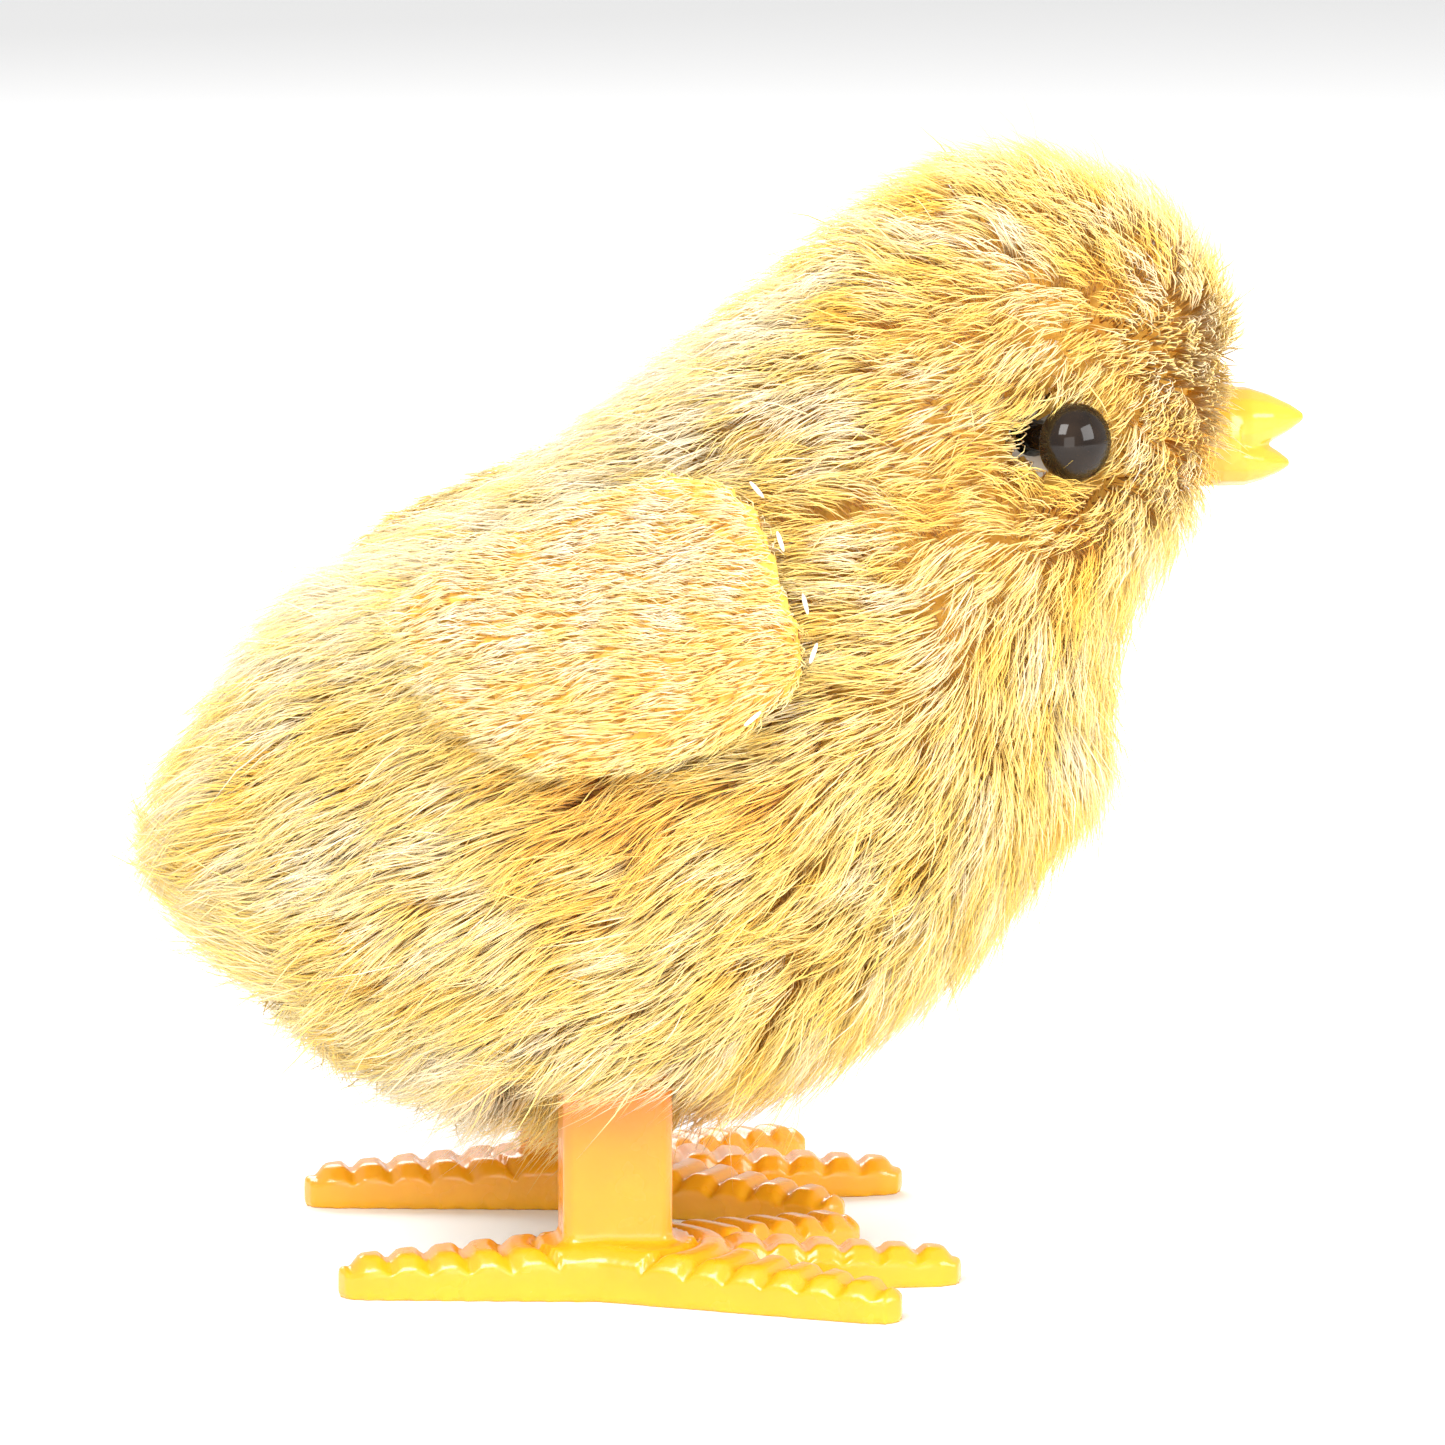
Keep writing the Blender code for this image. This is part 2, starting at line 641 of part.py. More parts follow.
def legPlateOutline():
    """Side view of the thin upper plate: straight below, round at its top."""
    half = legWidth / 2
    lobe = crankAt.z + crankThrow + 1.2 * mm
    topRadius = half * plateTopShare
    outline = [(hipAt.x - half, postTop - 2 * past), (hipAt.x + half, postTop - 2 * past)]
    for step in range(9):
        angle = pi * step / 8
        outline.append((hipAt.x + topRadius * math.cos(angle), lobe + topRadius * math.sin(angle)))
    return outline


def slotOutline():
    """The long hole in which the crank pin slides."""
    radius = crankPinRadius + gap
    outline = []
    for center, start in ((crankThrow, 0), (-crankThrow, pi)):
        for step in range(6):
            angle = start + pi * step / 5
            outline.append((
                crankAt.x + radius * math.cos(angle),
                crankAt.z + center + radius * math.sin(angle),
            ))
    return outline


def buildLeg(key, side):
    """Leg and foot in one moulding: foot, thick post and thin drive plate."""
    name = "leg_" + key
    track = side * legTrack
    leg = buildFoot(name, Vector((hipAt.x, track)))
    half = legWidth / 2
    postLow = footHubHeight * 0.5 - hipHeight
    corner = postCorner
    post = [
        (hipAt.x - half, track - postThickness / 2 + corner), (hipAt.x - half + corner, track - postThickness / 2),
        (hipAt.x + half - corner, track - postThickness / 2), (hipAt.x + half, track - postThickness / 2 + corner),
        (hipAt.x + half, track + postThickness / 2 - corner), (hipAt.x + half - corner, track + postThickness / 2),
        (hipAt.x - half + corner, track + postThickness / 2), (hipAt.x - half, track + postThickness / 2 - corner),
    ]
    combine(leg, prism("post", post, postLow, postTop, along="Z"), "UNION")
    low, high = sorted(side * face for face in plateFaces())
    combine(leg, prism("plate", legPlateOutline(), low, high), "UNION")
    combine(leg, rod("hip_hole", hipAt, hipRadius + gap, low - past, high + past), "DIFFERENCE")
    combine(leg, prism("slot", slotOutline(), low - past, high + past), "DIFFERENCE")
    finish(leg, makeMaterial("leg_orange_" + key, (0.98, 0.42, 0.02), 0.28), hipAt)


def plateFaces():
    """Inner and outer distance of each drive plate from the middle."""
    middle = legTrack - plateInset
    return middle - plateThickness / 2, middle + plateThickness / 2


def buildHip():
    outer = plateFaces()[1]
    reach = outer + gap + hipCapThickness / 2
    axle = turned("hip_axle", [(-reach, hipRadius), (reach, hipRadius)], 16, alongY(hipAt))
    finish(axle, makeMaterial("axle_steel", (0.60, 0.60, 0.62), 0.30, 1.0), hipAt)
    for key, side in sides.items():
        start = outer + gap
        steps = [(start, hipCapRadius), (start + hipCapThickness, hipCapRadius * 0.85)]
        cap = turned("axle_cap_" + key, steps, 16, alongY(hipAt, side))
        hole = [(start - past, hipRadius + gap), (reach + gap, hipRadius + gap)]
        bore = turned("bore", hole, 16, alongY(hipAt, side))
        combine(cap, bore, "DIFFERENCE")
        finish(cap, makeMaterial("cap_white_" + key, (0.92, 0.92, 0.90), 0.4), hipAt)


# ------------------------------------------------------------------ motor case

def caseOutline(margin):
    """Rounded rectangle of the case, drawn in by a margin."""
    outline = []
    corners = [(caseFront, caseTop), (caseRear, caseTop), (caseRear, caseBottom), (caseFront, caseBottom)]
    for quarter, ((x, z), corner) in enumerate(zip(corners, caseCorners.values())):
        centerX = x - math.copysign(corner, x - (caseFront + caseRear) / 2)
        centerZ = z - math.copysign(corner, z - (caseTop + caseBottom) / 2)
        radius = corner - margin
        steps = 3 if corner < 5 * mm else 6
        for step in range(steps + 1):
            angle = (quarter + step / steps) * pi / 2
            outline.append((centerX + radius * math.cos(angle), centerZ + radius * math.sin(angle)))
    return outline


def caseScrewPlaces():
    return {
        "top_front": Vector((caseFront - caseScrewInset, 0, caseTop - caseScrewInset)),
        "top_rear": caseRearScrewAt,
        "low_rear": Vector((caseRear + caseScrewInset, 0, caseBottom + caseScrewInset)),
    }


def buildCase():
    """Two trays that meet in the middle, each with bearing holes and screw bosses."""
    bearings = [(secondAt, pivotRadius), (crankAt, pivotRadius), (escapeAt, pivotRadius)]
    bearings += [(vergeAt, pivotRadius), (hipAt, hipRadius), (arborAt, knobShaftRadius)]
    headSeat = caseHalfWidth - caseScrewHead - gap
    for key, side in sides.items():
        inner = side * gap / 2
        outer = side * caseHalfWidth
        floor = side * (caseHalfWidth - caseWall)
        tray = prism("motor_case_" + key, caseOutline(0), *sorted((inner, outer)))
        pocket = prism("pocket", caseOutline(caseWall), *sorted((-side * past, floor)))
        for center in caseScrewPlaces().values():
            low, high = sorted((-side * 2 * past, side * beyond))
            combine(pocket, rod("boss", center, bossRadius, low, high, 12), "DIFFERENCE")
        combine(tray, pocket, "DIFFERENCE")
        for center, radius in bearings:
            low, high = sorted((floor - side * past, outer + side * past))
            combine(tray, rod("bearing", center, radius + gap, low, high, 12), "DIFFERENCE")
        for center in caseScrewPlaces().values():
            if side < 0:
                combine(tray, rod("clear", center, screwShankRadius + gap, -beyond, past, 12), "DIFFERENCE")
                combine(tray, rod("seat", center, screwHeadRadius + gap, -beyond, -headSeat, 12), "DIFFERENCE")
            else:
                combine(tray, rod("thread", center, screwShankRadius + gap, -past, caseScrewReach + 2 * gap, 12), "DIFFERENCE")
        finish(tray, makeMaterial("case_white_" + key, (0.90, 0.89, 0.85), 0.42))
    for place, center in caseScrewPlaces().items():
        steps = [(-caseScrewReach, screwShankRadius), (headSeat + gap, screwShankRadius)]
        steps += [(headSeat + gap, screwHeadRadius), (headSeat + caseScrewHead, screwHeadRadius)]
        screw = turned("case_screw_" + place, steps, 12, alongY(center, -1))
        finish(screw, makeMaterial("case_screw_" + place, (0.55, 0.55, 0.57), 0.35, 1.0))


# ------------------------------------------------------------------ gear train

greatPhase = 0.0
secondPinionPhase = meshedPhase(arborAt, greatTeeth, greatPhase, secondAt, secondPinionTeeth)
secondPhase = secondPinionPhase
crankPinionPhase = meshedPhase(secondAt, secondTeeth, secondPhase, crankAt, crankPinionTeeth)
crankPhase = crankPinionPhase
escapePinionPhase = meshedPhase(crankAt, crankTeeth, crankPhase, escapeAt, escapePinionTeeth)
pivotReach = caseHalfWidth - gap
clickReach = ratchetRadius + clickRoom + clickHubRadius       # arbor to the click's stud
knobInner = bodyHalfWidth(arborAt.x, arborAt.z) - knobSink


def wheelWithPinion(name, center, wheel, pinion, color, bore=0):
    """A moulded wheel with its pinion, on its own pivots or bored for a shaft.

    The wheel and the pinion are each (teeth, phase, layer).
    """
    body = prism(name, gearOutline(center, *wheel[:2]), *wheel[2])
    combine(body, prism("pinion", gearOutline(center, *pinion[:2]), *pinion[2]), "UNION")
    if bore:
        combine(body, rod("bore", center, bore, -beyond, beyond, 12), "DIFFERENCE")
    else:
        combine(body, rod("shaft", center, pivotRadius, -pivotReach, pivotReach, 12), "UNION")
    finish(body, makeMaterial(name, color, 0.4), center)


def buildTrain():
    spread = 0.5 * mm
    second = (secondTeeth, secondPhase, secondLayer)
    secondPinionLayer = (greatLayer[0] - gap, greatLayer[1] + spread)
    secondPinion = (secondPinionTeeth, secondPinionPhase, secondPinionLayer)
    wheelWithPinion("second_wheel", secondAt, second, secondPinion, (0.88, 0.88, 0.84))
    crank = (crankTeeth, crankPhase, crankLayer)
    crankPinionLayer = (crankLayer[1] - 0.1 * mm, secondLayer[1] + spread)
    crankPinion = (crankPinionTeeth, crankPinionPhase, crankPinionLayer)
    wheelWithPinion("crank_wheel", crankAt, crank, crankPinion, (0.30, 0.45, 0.75), pivotRadius + gap)
    buildEscapement(spread)
    buildGreatWheel()


def buildGreatWheel():
    """The great wheel with its click, free on the arbor hub."""
    wheel = prism("great_wheel", gearOutline(arborAt, greatTeeth, greatPhase), *greatLayer)
    stud = onXZ(arborAt, clickReach, clickBearing)
    combine(wheel, rod("stud", stud, clickStudRadius, ratchetLayer[0], greatLayer[0] + past / 2, 10), "UNION")
    combine(wheel, rod("bore", arborAt, arborRadius + gap, -beyond, beyond, 16), "DIFFERENCE")
    finish(wheel, makeMaterial("great_wheel", (0.86, 0.86, 0.82), 0.4), arborAt)
    click = prism("click", clickOutline(stud), *ratchetLayer)
    combine(click, rod("bore", stud, clickStudRadius + gap, -beyond, beyond, 10), "DIFFERENCE")
    finish(click, makeMaterial("click_steel", (0.58, 0.58, 0.60), 0.35, 1.0), stud)


def clickOutline(stud):
    """A pawl whose beak stands just clear of the ratchet's tips."""
    tip = onXZ(arborAt, ratchetRadius + gap, clickBearing + clickLead)
    heel = onXZ(arborAt, ratchetRadius + gap + clickHeel, clickBearing + clickLead * 0.9)
    outline = [(tip.x, tip.z), (heel.x, heel.z)]
    facing = bearing(tip, stud)
    for step in range(7):
        angle = facing + pi / 2 - pi * step / 6
        point = onXZ(stud, clickHubRadius, angle)
        outline.append((point.x, point.z))
    return outline


def sawOutline(center, teeth, tip, root, lean):
    """Ratchet or escape teeth: a steep face and a long back. lean is the back's share of the pitch."""
    pitch = 2 * pi / teeth
    outline = []
    for tooth in range(teeth):
        start = tooth * pitch
        for radius, share in ((root, 0.0), (tip, 0.06), (tip, 0.16), (root, lean)):
            angle = start + share * pitch
            outline.append((center.x + radius * math.cos(angle), center.z + radius * math.sin(angle)))
    return outline


def buildEscapement(spread):
    """The star wheel with its pinion, and the verge that rocks over it."""
    saw = sawOutline(escapeAt, escapeTeeth, escapeRadius, escapeRoot, 0.8)
    wheel = prism("escape_wheel", saw, *escapeLayer)
    pinionLayer = (escapeLayer[1] - 0.1 * mm, crankLayer[1] + spread)
    outline = gearOutline(escapeAt, escapePinionTeeth, escapePinionPhase)
    combine(wheel, prism("pinion", outline, *pinionLayer), "UNION")
    combine(wheel, rod("shaft", escapeAt, pivotRadius, -pivotReach, pivotReach, 12), "UNION")
    finish(wheel, makeMaterial("escape_wheel", (0.88, 0.88, 0.84), 0.4), escapeAt)
    verge = prism("verge", vergeOutline(), *escapeLayer)
    combine(verge, rod("shaft", vergeAt, pivotRadius, -pivotReach, pivotReach, 12), "UNION")
    finish(verge, makeMaterial("verge_steel", (0.58, 0.58, 0.60), 0.35, 1.0), vergeAt)


def vergeOutline():
    """An anchor: two arms that reach round the star wheel and end just clear of its tips."""
    up = bearing(vergeAt, escapeAt)
    outline = []
    arm = [(62, 5.0), (50, 5.1), (34, 2.1), (0, 1.4), (-34, 2.1), (-50, 5.1), (-62, 5.0), (-74, 2.4), (-120, 1.6)]
    arm += [(180, 1.6), (120, 1.6), (74, 2.4)]
    for degrees, radius in arm:
        point = onXZ(vergeAt, radius * mm, up + math.radians(degrees))
        outline.append((point.x, point.z))
    return outline


# ------------------------------------------------------------------ arbor, spring, knob, crank

def buildArbor():
    """The spring arbor carries the ratchet and, outside the body, the knob."""
    steps = [(-pivotReach, pivotRadius), (ratchetLayer[0] - 0.5 * mm, pivotRadius)]
    steps += [(ratchetLayer[0] - 0.5 * mm, arborRadius), (caseHalfWidth - caseWall - gap, arborRadius)]
    steps += [(caseHalfWidth - caseWall - gap, knobShaftRadius), (knobInner + knobSocket, knobShaftRadius)]
    arbor = turned("spring_arbor", steps, 16, alongY(arborAt))
    finish(arbor, makeMaterial("arbor_steel", (0.60, 0.60, 0.62), 0.3, 1.0), arborAt)
    saw = sawOutline(arborAt, ratchetTeeth, ratchetRadius, ratchetRoot, 0.9)
    ratchet = prism("ratchet_wheel", saw, *ratchetLayer)
    combine(ratchet, rod("bore", arborAt, arborRadius + gap, -beyond, beyond, 16), "DIFFERENCE")
    finish(ratchet, makeMaterial("ratchet_steel", (0.58, 0.58, 0.60), 0.35, 1.0), arborAt)


def buildKnob():
    """A round knob with a raised finger bar, bored for the arbor."""
    start = knobInner
    end = knobInner + knobThickness
    steps = [(start, knobRadius - 0.5 * mm), (start + 0.4 * mm, knobRadius), (end - 2.4 * mm, knobRadius)]
    steps += [(end - 1.9 * mm, knobRadius - 0.5 * mm)]
    knob = turned("winding_knob", steps, 24, alongY(arborAt))
    barHalf = knobBar / 2
    reach = knobRadius - 0.6 * mm
    bar = [(arborAt.x - barHalf, arborAt.z - reach), (arborAt.x + barHalf, arborAt.z - reach)]
    bar += [(arborAt.x + barHalf, arborAt.z + reach), (arborAt.x - barHalf, arborAt.z + reach)]
    combine(knob, prism("finger_bar", bar, end - 2.6 * mm, end), "UNION")
    bore = rod("bore", arborAt, knobShaftRadius + gap, start - past, knobInner + knobSocket + gap)
    combine(knob, bore, "DIFFERENCE")
    finish(knob, makeMaterial("knob_white", (0.93, 0.92, 0.88), 0.35), arborAt)


def buildMainspring():
    """A spiral of flat strip round the arbor, its outer end curled on the pillar."""
    strip, end, turns = springStrip, springRadius, springTurns
    start = arborRadius + gap + strip / 2
    count = int(turns * 16)
    inner, outer = [], []
    for step in range(count + 1):
        share = step / count
        angle = share * turns * 2 * pi
        radius = start + (end - start) * share
        for edge, side in ((inner, -1), (outer, 1)):
            edge.append((
                arborAt.x + (radius + side * strip / 2) * math.cos(angle),
                arborAt.z + (radius + side * strip / 2) * math.sin(angle),
            ))
    spring = prism("mainspring", outer + inner[::-1], *springLayer)
    finish(spring, makeMaterial("spring_steel", (0.42, 0.44, 0.50), 0.28, 1.0), arborAt)
    pillarAt = onXZ(arborAt, end + strip / 2 + gap + pillarRadius, turns * 2 * pi)
    reach = caseHalfWidth - caseWall - gap
    pillar = rod("spring_pillar", pillarAt, pillarRadius, springLayer[0] - gap, reach, 12)
    finish(pillar, makeMaterial("pillar_steel", (0.60, 0.60, 0.62), 0.3, 1.0))


def buildCrank():
    """A steel shaft through the case with a disc and an eccentric pin at each end."""
    plateInner = plateFaces()[0]
    discStart = caseHalfWidth + 0.5 * mm
    discEnd = discStart + crankDiscThickness
    reach = discEnd - 0.4 * mm
    shaft = turned("crank_shaft", [(-reach, pivotRadius), (reach, pivotRadius)], 12, alongY(crankAt))
    finish(shaft, makeMaterial("crank_steel", (0.60, 0.60, 0.62), 0.3, 1.0), crankAt)
    pinAt = crankAt + Vector((0, 0, crankThrow))
    for key, side in sides.items():
        disc = turned(
            "crank_disc_" + key,
            [(discStart, crankDiscRadius), (discEnd, crankDiscRadius)], 20, alongY(crankAt, side),
        )
        pin = turned(
            "pin", [(discEnd - 0.5 * mm, crankPinRadius), (plateInner - gap, crankPinRadius)], 12,
            alongY(pinAt, side),
        )
        combine(disc, pin, "UNION")
        bore = [(discStart - past, pivotRadius + gap), (reach + gap, pivotRadius + gap)]
        combine(disc, turned("bore", bore, 12, alongY(crankAt, side)), "DIFFERENCE")
        finish(disc, makeMaterial("crank_disc_" + key, (0.90, 0.89, 0.85), 0.4), crankAt)


def main():
    clearScene()
    addHipLine()
    buildSkin()
    buildShells()
    for key, side in sides.items():
        buildWing(key, side)
        buildEye(key, side)
        buildLeg(key, side)
    buildBeak()
    buildHip()
    buildCase()
    buildTrain()
    buildArbor()
    buildMainspring()
    buildKnob()
    buildCrank()


main()
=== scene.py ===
import json
import math

import bmesh
import bpy
import numpy as np
from mathutils import Matrix, Vector
from mathutils.bvhtree import BVHTree
from mathutils.kdtree import KDTree


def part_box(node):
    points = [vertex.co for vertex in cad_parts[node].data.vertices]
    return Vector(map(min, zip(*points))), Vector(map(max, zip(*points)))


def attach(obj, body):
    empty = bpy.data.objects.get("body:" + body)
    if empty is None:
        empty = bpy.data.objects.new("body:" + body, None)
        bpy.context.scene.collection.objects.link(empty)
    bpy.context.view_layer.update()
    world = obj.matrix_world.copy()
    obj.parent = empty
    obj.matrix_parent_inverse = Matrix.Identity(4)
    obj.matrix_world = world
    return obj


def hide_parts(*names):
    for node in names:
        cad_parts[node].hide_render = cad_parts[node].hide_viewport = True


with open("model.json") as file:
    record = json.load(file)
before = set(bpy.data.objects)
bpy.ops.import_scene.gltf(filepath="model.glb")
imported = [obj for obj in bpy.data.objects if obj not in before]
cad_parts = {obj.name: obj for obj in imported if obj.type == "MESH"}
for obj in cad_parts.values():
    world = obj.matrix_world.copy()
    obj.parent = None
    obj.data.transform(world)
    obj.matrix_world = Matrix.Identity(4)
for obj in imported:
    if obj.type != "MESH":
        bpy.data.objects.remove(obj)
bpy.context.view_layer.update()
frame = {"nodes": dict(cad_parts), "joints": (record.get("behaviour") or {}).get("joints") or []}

mm = 0.001
nodes = frame["nodes"]
joints = {joint["name"]: joint for joint in frame["joints"]}
sides = {"left": 1, "right": -1}
hip = Vector(joints["leg_rock"]["pos_m"])
arbor = Vector(joints["run"]["pos_m"])


# ---------- small helpers ----------

allAxes = {"use_axis_x": True, "use_axis_y": True, "use_axis_z": True}


def boxOf(node):
    low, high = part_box(node)
    return Vector(low), Vector(high)


def copyOf(node, name):
    # a CAD node's mesh is loose triangles, so the copy is merged
    shape = bmesh.new()
    shape.from_mesh(nodes[node].data)
    bmesh.ops.remove_doubles(shape, verts=shape.verts, dist=1e-6)
    mesh = bpy.data.meshes.new(name)
    shape.to_mesh(mesh)
    shape.free()
    piece = bpy.data.objects.new(name, mesh)
    bpy.context.scene.collection.objects.link(piece)
    return piece


def addPiece(name, shape):
    mesh = bpy.data.meshes.new(name)
    shape.to_mesh(mesh)
    shape.free()
    piece = bpy.data.objects.new(name, mesh)
    bpy.context.scene.collection.objects.link(piece)
    return piece


def applyModifiers(piece):
    graph = bpy.context.evaluated_depsgraph_get()
    mesh = bpy.data.meshes.new_from_object(piece.evaluated_get(graph))
    piece.modifiers.clear()
    piece.data = mesh


def remeshed(piece, voxel, smoothing):
    remesh = piece.modifiers.new("skin", "REMESH")
    remesh.mode = "VOXEL"
    remesh.voxel_size = voxel
    remesh.adaptivity = 0
    smooth = piece.modifiers.new("soften", "SMOOTH")
    smooth.factor = 0.5
    smooth.iterations = smoothing
    applyModifiers(piece)
    piece.data.shade_smooth()


def pointsOf(mesh):
    points = np.empty(len(mesh.vertices) * 3)
    mesh.vertices.foreach_get("co", points)
    return points.reshape(-1, 3)


def putPoints(mesh, points):
    mesh.vertices.foreach_set("co", points.ravel())
    mesh.update()


# ---------- camera, light, floor ----------

cameraSettings = {
    "azimuth": -6.5, "elevation": 9.0, "distance": 0.70, "frameWidth": 0.0963,
    "target": (-0.0004, 0.0, 0.0352),
}


def placeCamera():
    azimuth = math.radians(cameraSettings["azimuth"])
    elevation = math.radians(cameraSettings["elevation"])
    back = Vector((
        math.sin(azimuth) * math.cos(elevation),
        -math.cos(azimuth) * math.cos(elevation),
        math.sin(elevation),
    ))
    camera = bpy.data.cameras.new("camera")
    camera.sensor_width = 36
    camera.lens = 36 * cameraSettings["distance"] / cameraSettings["frameWidth"]
    camera.clip_start = 0.01
    view = bpy.data.objects.new("camera", camera)
    bpy.context.scene.collection.objects.link(view)
    view.location = Vector(cameraSettings["target"]) + back * cameraSettings["distance"]
    view.rotation_euler = back.to_track_quat("Z", "Y").to_euler()
    bpy.context.scene.camera = view


lightSettings = {
    # name: (place, size, watts, colour)
    "key": ((-0.25, -0.45, 0.50), 0.35, 5.2, (1.0, 0.985, 0.96)),
    "front": ((0.45, -0.30, 0.25), 0.30, 2.2, (1.0, 1.0, 1.0)),
    "back": ((-0.10, 0.50, 0.45), 0.40, 3.0, (1.0, 1.0, 1.0)),
    "low": ((0.0, -0.50, 0.06), 0.30, 0.8, (1.0, 0.98, 0.95)),
}
skyStrength = 0.80


def placeLights():
    for name, (place, size, watts, color) in lightSettings.items():
        light = bpy.data.lights.new(name, "AREA")
        light.size = size
        light.energy = watts
        light.color = color
        lamp = bpy.data.objects.new(name, light)
        bpy.context.scene.collection.objects.link(lamp)
        lamp.location = place
        aim = Vector((0, 0, 0.035)) - Vector(place)
        lamp.rotation_euler = aim.to_track_quat("-Z", "Y").to_euler()
    world = bpy.data.worlds.new("studio")
    world.use_nodes = True
    world.node_tree.nodes["Background"].inputs["Color"].default_value = (1, 1, 1, 1)
    world.node_tree.nodes["Background"].inputs["Strength"].default_value = skyStrength
    bpy.context.scene.world = world


def placeFloor():
    shape = bmesh.new()
    bmesh.ops.create_grid(shape, x_segments=1, y_segments=1, size=3.0)
    floor = addPiece("floor", shape)
    material = bpy.data.materials.new("floor_white")
    material.use_nodes = True
    shader = material.node_tree.nodes["Principled BSDF"]
    shader.inputs["Base Color"].default_value = (0.93, 0.93, 0.93, 1)
    shader.inputs["Roughness"].default_value = 0.9
    shader.inputs["Specular IOR Level"].default_value = 0.1
    floor.data.materials.append(material)


bpy.context.scene.view_settings.view_transform = "Standard"
placeCamera()
placeLights()
placeFloor()
print("stage ready")


# ---------- materials ----------

def newMaterial(name, roughness, **sockets):
    material = bpy.data.materials.new(name)
    material.use_nodes = True
    shader = material.node_tree.nodes["Principled BSDF"]
    shader.inputs["Roughness"].default_value = roughness
    for socket, value in sockets.items():
        shader.inputs[socket.replace("_", " ")].default_value = value
    return material, material.node_tree, shader


def addNode(tree, kind, **values):
    node = tree.nodes.new(kind)
    for key, value in values.items():
        if key in node.inputs:
            node.inputs[key].default_value = value
        else:
            setattr(node, key, value)
    return node


def ramp(tree, source, stops):
    node = tree.nodes.new("ShaderNodeValToRGB")
    elements = node.color_ramp.elements
    while len(elements) < len(stops):
        elements.new(0.5)
    for element, (place, color) in zip(elements, stops):
        element.position = place
        element.color = (*color, 1)
    tree.links.new(source, node.inputs["Fac"])
    return node.outputs["Color"]


def mixColors(tree, factor, first, second, blend="MIX"):
    node = tree.nodes.new("ShaderNodeMix")
    node.data_type = "RGBA"
    node.blend_type = blend
    if isinstance(factor, float):
        node.inputs["Factor"].default_value = factor
    else:
        tree.links.new(factor, node.inputs["Factor"])
    for slot, value in ((6, first), (7, second)):
        if isinstance(value, tuple):
            node.inputs[slot].default_value = (*value, 1)
        else:
            tree.links.new(value, node.inputs[slot])
    return node.outputs[2]


def srgb(hexColor):
    value = [int(hexColor[i:i + 2], 16) / 255 for i in (0, 2, 4)]
    return tuple(c / 12.92 if c <= 0.04045 else ((c + 0.055) / 1.055) ** 2.4 for c in value)


# u of the strand map is a tone, from grey cream through pale yellow to orange; v runs root to tip, and the
# deeper root colours are partly the fibre's own colour and partly painted shade for the shade down among the
# hairs
furTones = {
    "root": [(0.0, "E6D9A4"), (0.25, "F6CE78"), (0.5, "FBC650"), (0.75, "FBB030"), (1.0, "F79A22")],
    "tip": [(0.0, "F6EFD6"), (0.25, "FDEBC6"), (0.5, "FFE58E"), (0.75, "FFD560"), (1.0, "FFC044")],
}


def furMaterial():
    material, tree, shader = newMaterial("chick_fur", 0.72, Sheen_Weight=0.25, Sheen_Roughness=0.5)
    shader.inputs["Specular IOR Level"].default_value = 0.25
    shader.inputs["Subsurface Weight"].default_value = 0.0
    uv = addNode(tree, "ShaderNodeUVMap", uv_map="OFBake")
    parts = tree.nodes.new("ShaderNodeSeparateXYZ")
    tree.links.new(uv.outputs["UV"], parts.inputs[0])
    # root colours: the fibre's own deeper colour plus painted shade for the crowded hairs
    root = ramp(tree, parts.outputs["X"], [(p, srgb(c)) for p, c in furTones["root"]])
    tip = ramp(tree, parts.outputs["X"], [(p, srgb(c)) for p, c in furTones["tip"]])
    along = tree.nodes.new("ShaderNodeValToRGB")
    along.color_ramp.elements[0].position = 0.02
    along.color_ramp.elements[1].position = 0.48
    tree.links.new(parts.outputs["Y"], along.inputs["Fac"])
    color = mixColors(tree, along.outputs["Color"], root, tip)
    tree.links.new(color, shader.inputs["Base Color"])
    return material


def mouldedPlastic(name, stops, roughness, bump, coat=0.0, subsurface=0.0, low=0.0, high=0.012):
    # colour falls with height from the first stop to the last, with faint moulding marks
    material, tree, shader = newMaterial(name, roughness)
    shader.inputs["Coat Weight"].default_value = coat
    shader.inputs["Coat Roughness"].default_value = 0.12
    shader.inputs["Subsurface Weight"].default_value = subsurface
    shader.inputs["Subsurface Radius"].default_value = (1.0, 0.45, 0.12)
    shader.inputs["Subsurface Scale"].default_value = 0.0015
    place = addNode(tree, "ShaderNodeTexCoord")
    parts = tree.nodes.new("ShaderNodeSeparateXYZ")
    tree.links.new(place.outputs["Object"], parts.inputs[0])
    height = addNode(tree, "ShaderNodeMapRange")
    height.inputs["From Min"].default_value = low
    height.inputs["From Max"].default_value = high
    tree.links.new(parts.outputs["Z"], height.inputs["Value"])
    color = ramp(tree, height.outputs["Result"], stops)
    cloud = addNode(tree, "ShaderNodeTexNoise", Scale=260.0, Detail=3.0)
    tree.links.new(place.outputs["Object"], cloud.inputs["Vector"])
    tint = ramp(tree, cloud.outputs["Fac"], [(0.3, (0.90, 0.90, 0.90)), (0.7, (1.0, 1.0, 1.0))])
    color = mixColors(tree, 1.0, color, tint, "MULTIPLY")
    tree.links.new(color, shader.inputs["Base Color"])
    grain = addNode(tree, "ShaderNodeTexNoise", Scale=1800.0, Detail=2.0)
    tree.links.new(place.outputs["Object"], grain.inputs["Vector"])
    shape = addNode(tree, "ShaderNodeBump", Strength=bump, Distance=0.0001)
    tree.links.new(grain.outputs["Fac"], shape.inputs["Height"])
    tree.links.new(shape.outputs["Normal"], shader.inputs["Normal"])
    worn = addNode(tree, "ShaderNodeMapRange")
    worn.inputs["To Min"].default_value = roughness * 0.85
    worn.inputs["To Max"].default_value = roughness * 1.2
    tree.links.new(cloud.outputs["Fac"], worn.inputs["Value"])
    tree.links.new(worn.outputs["Result"], shader.inputs["Roughness"])
    return material


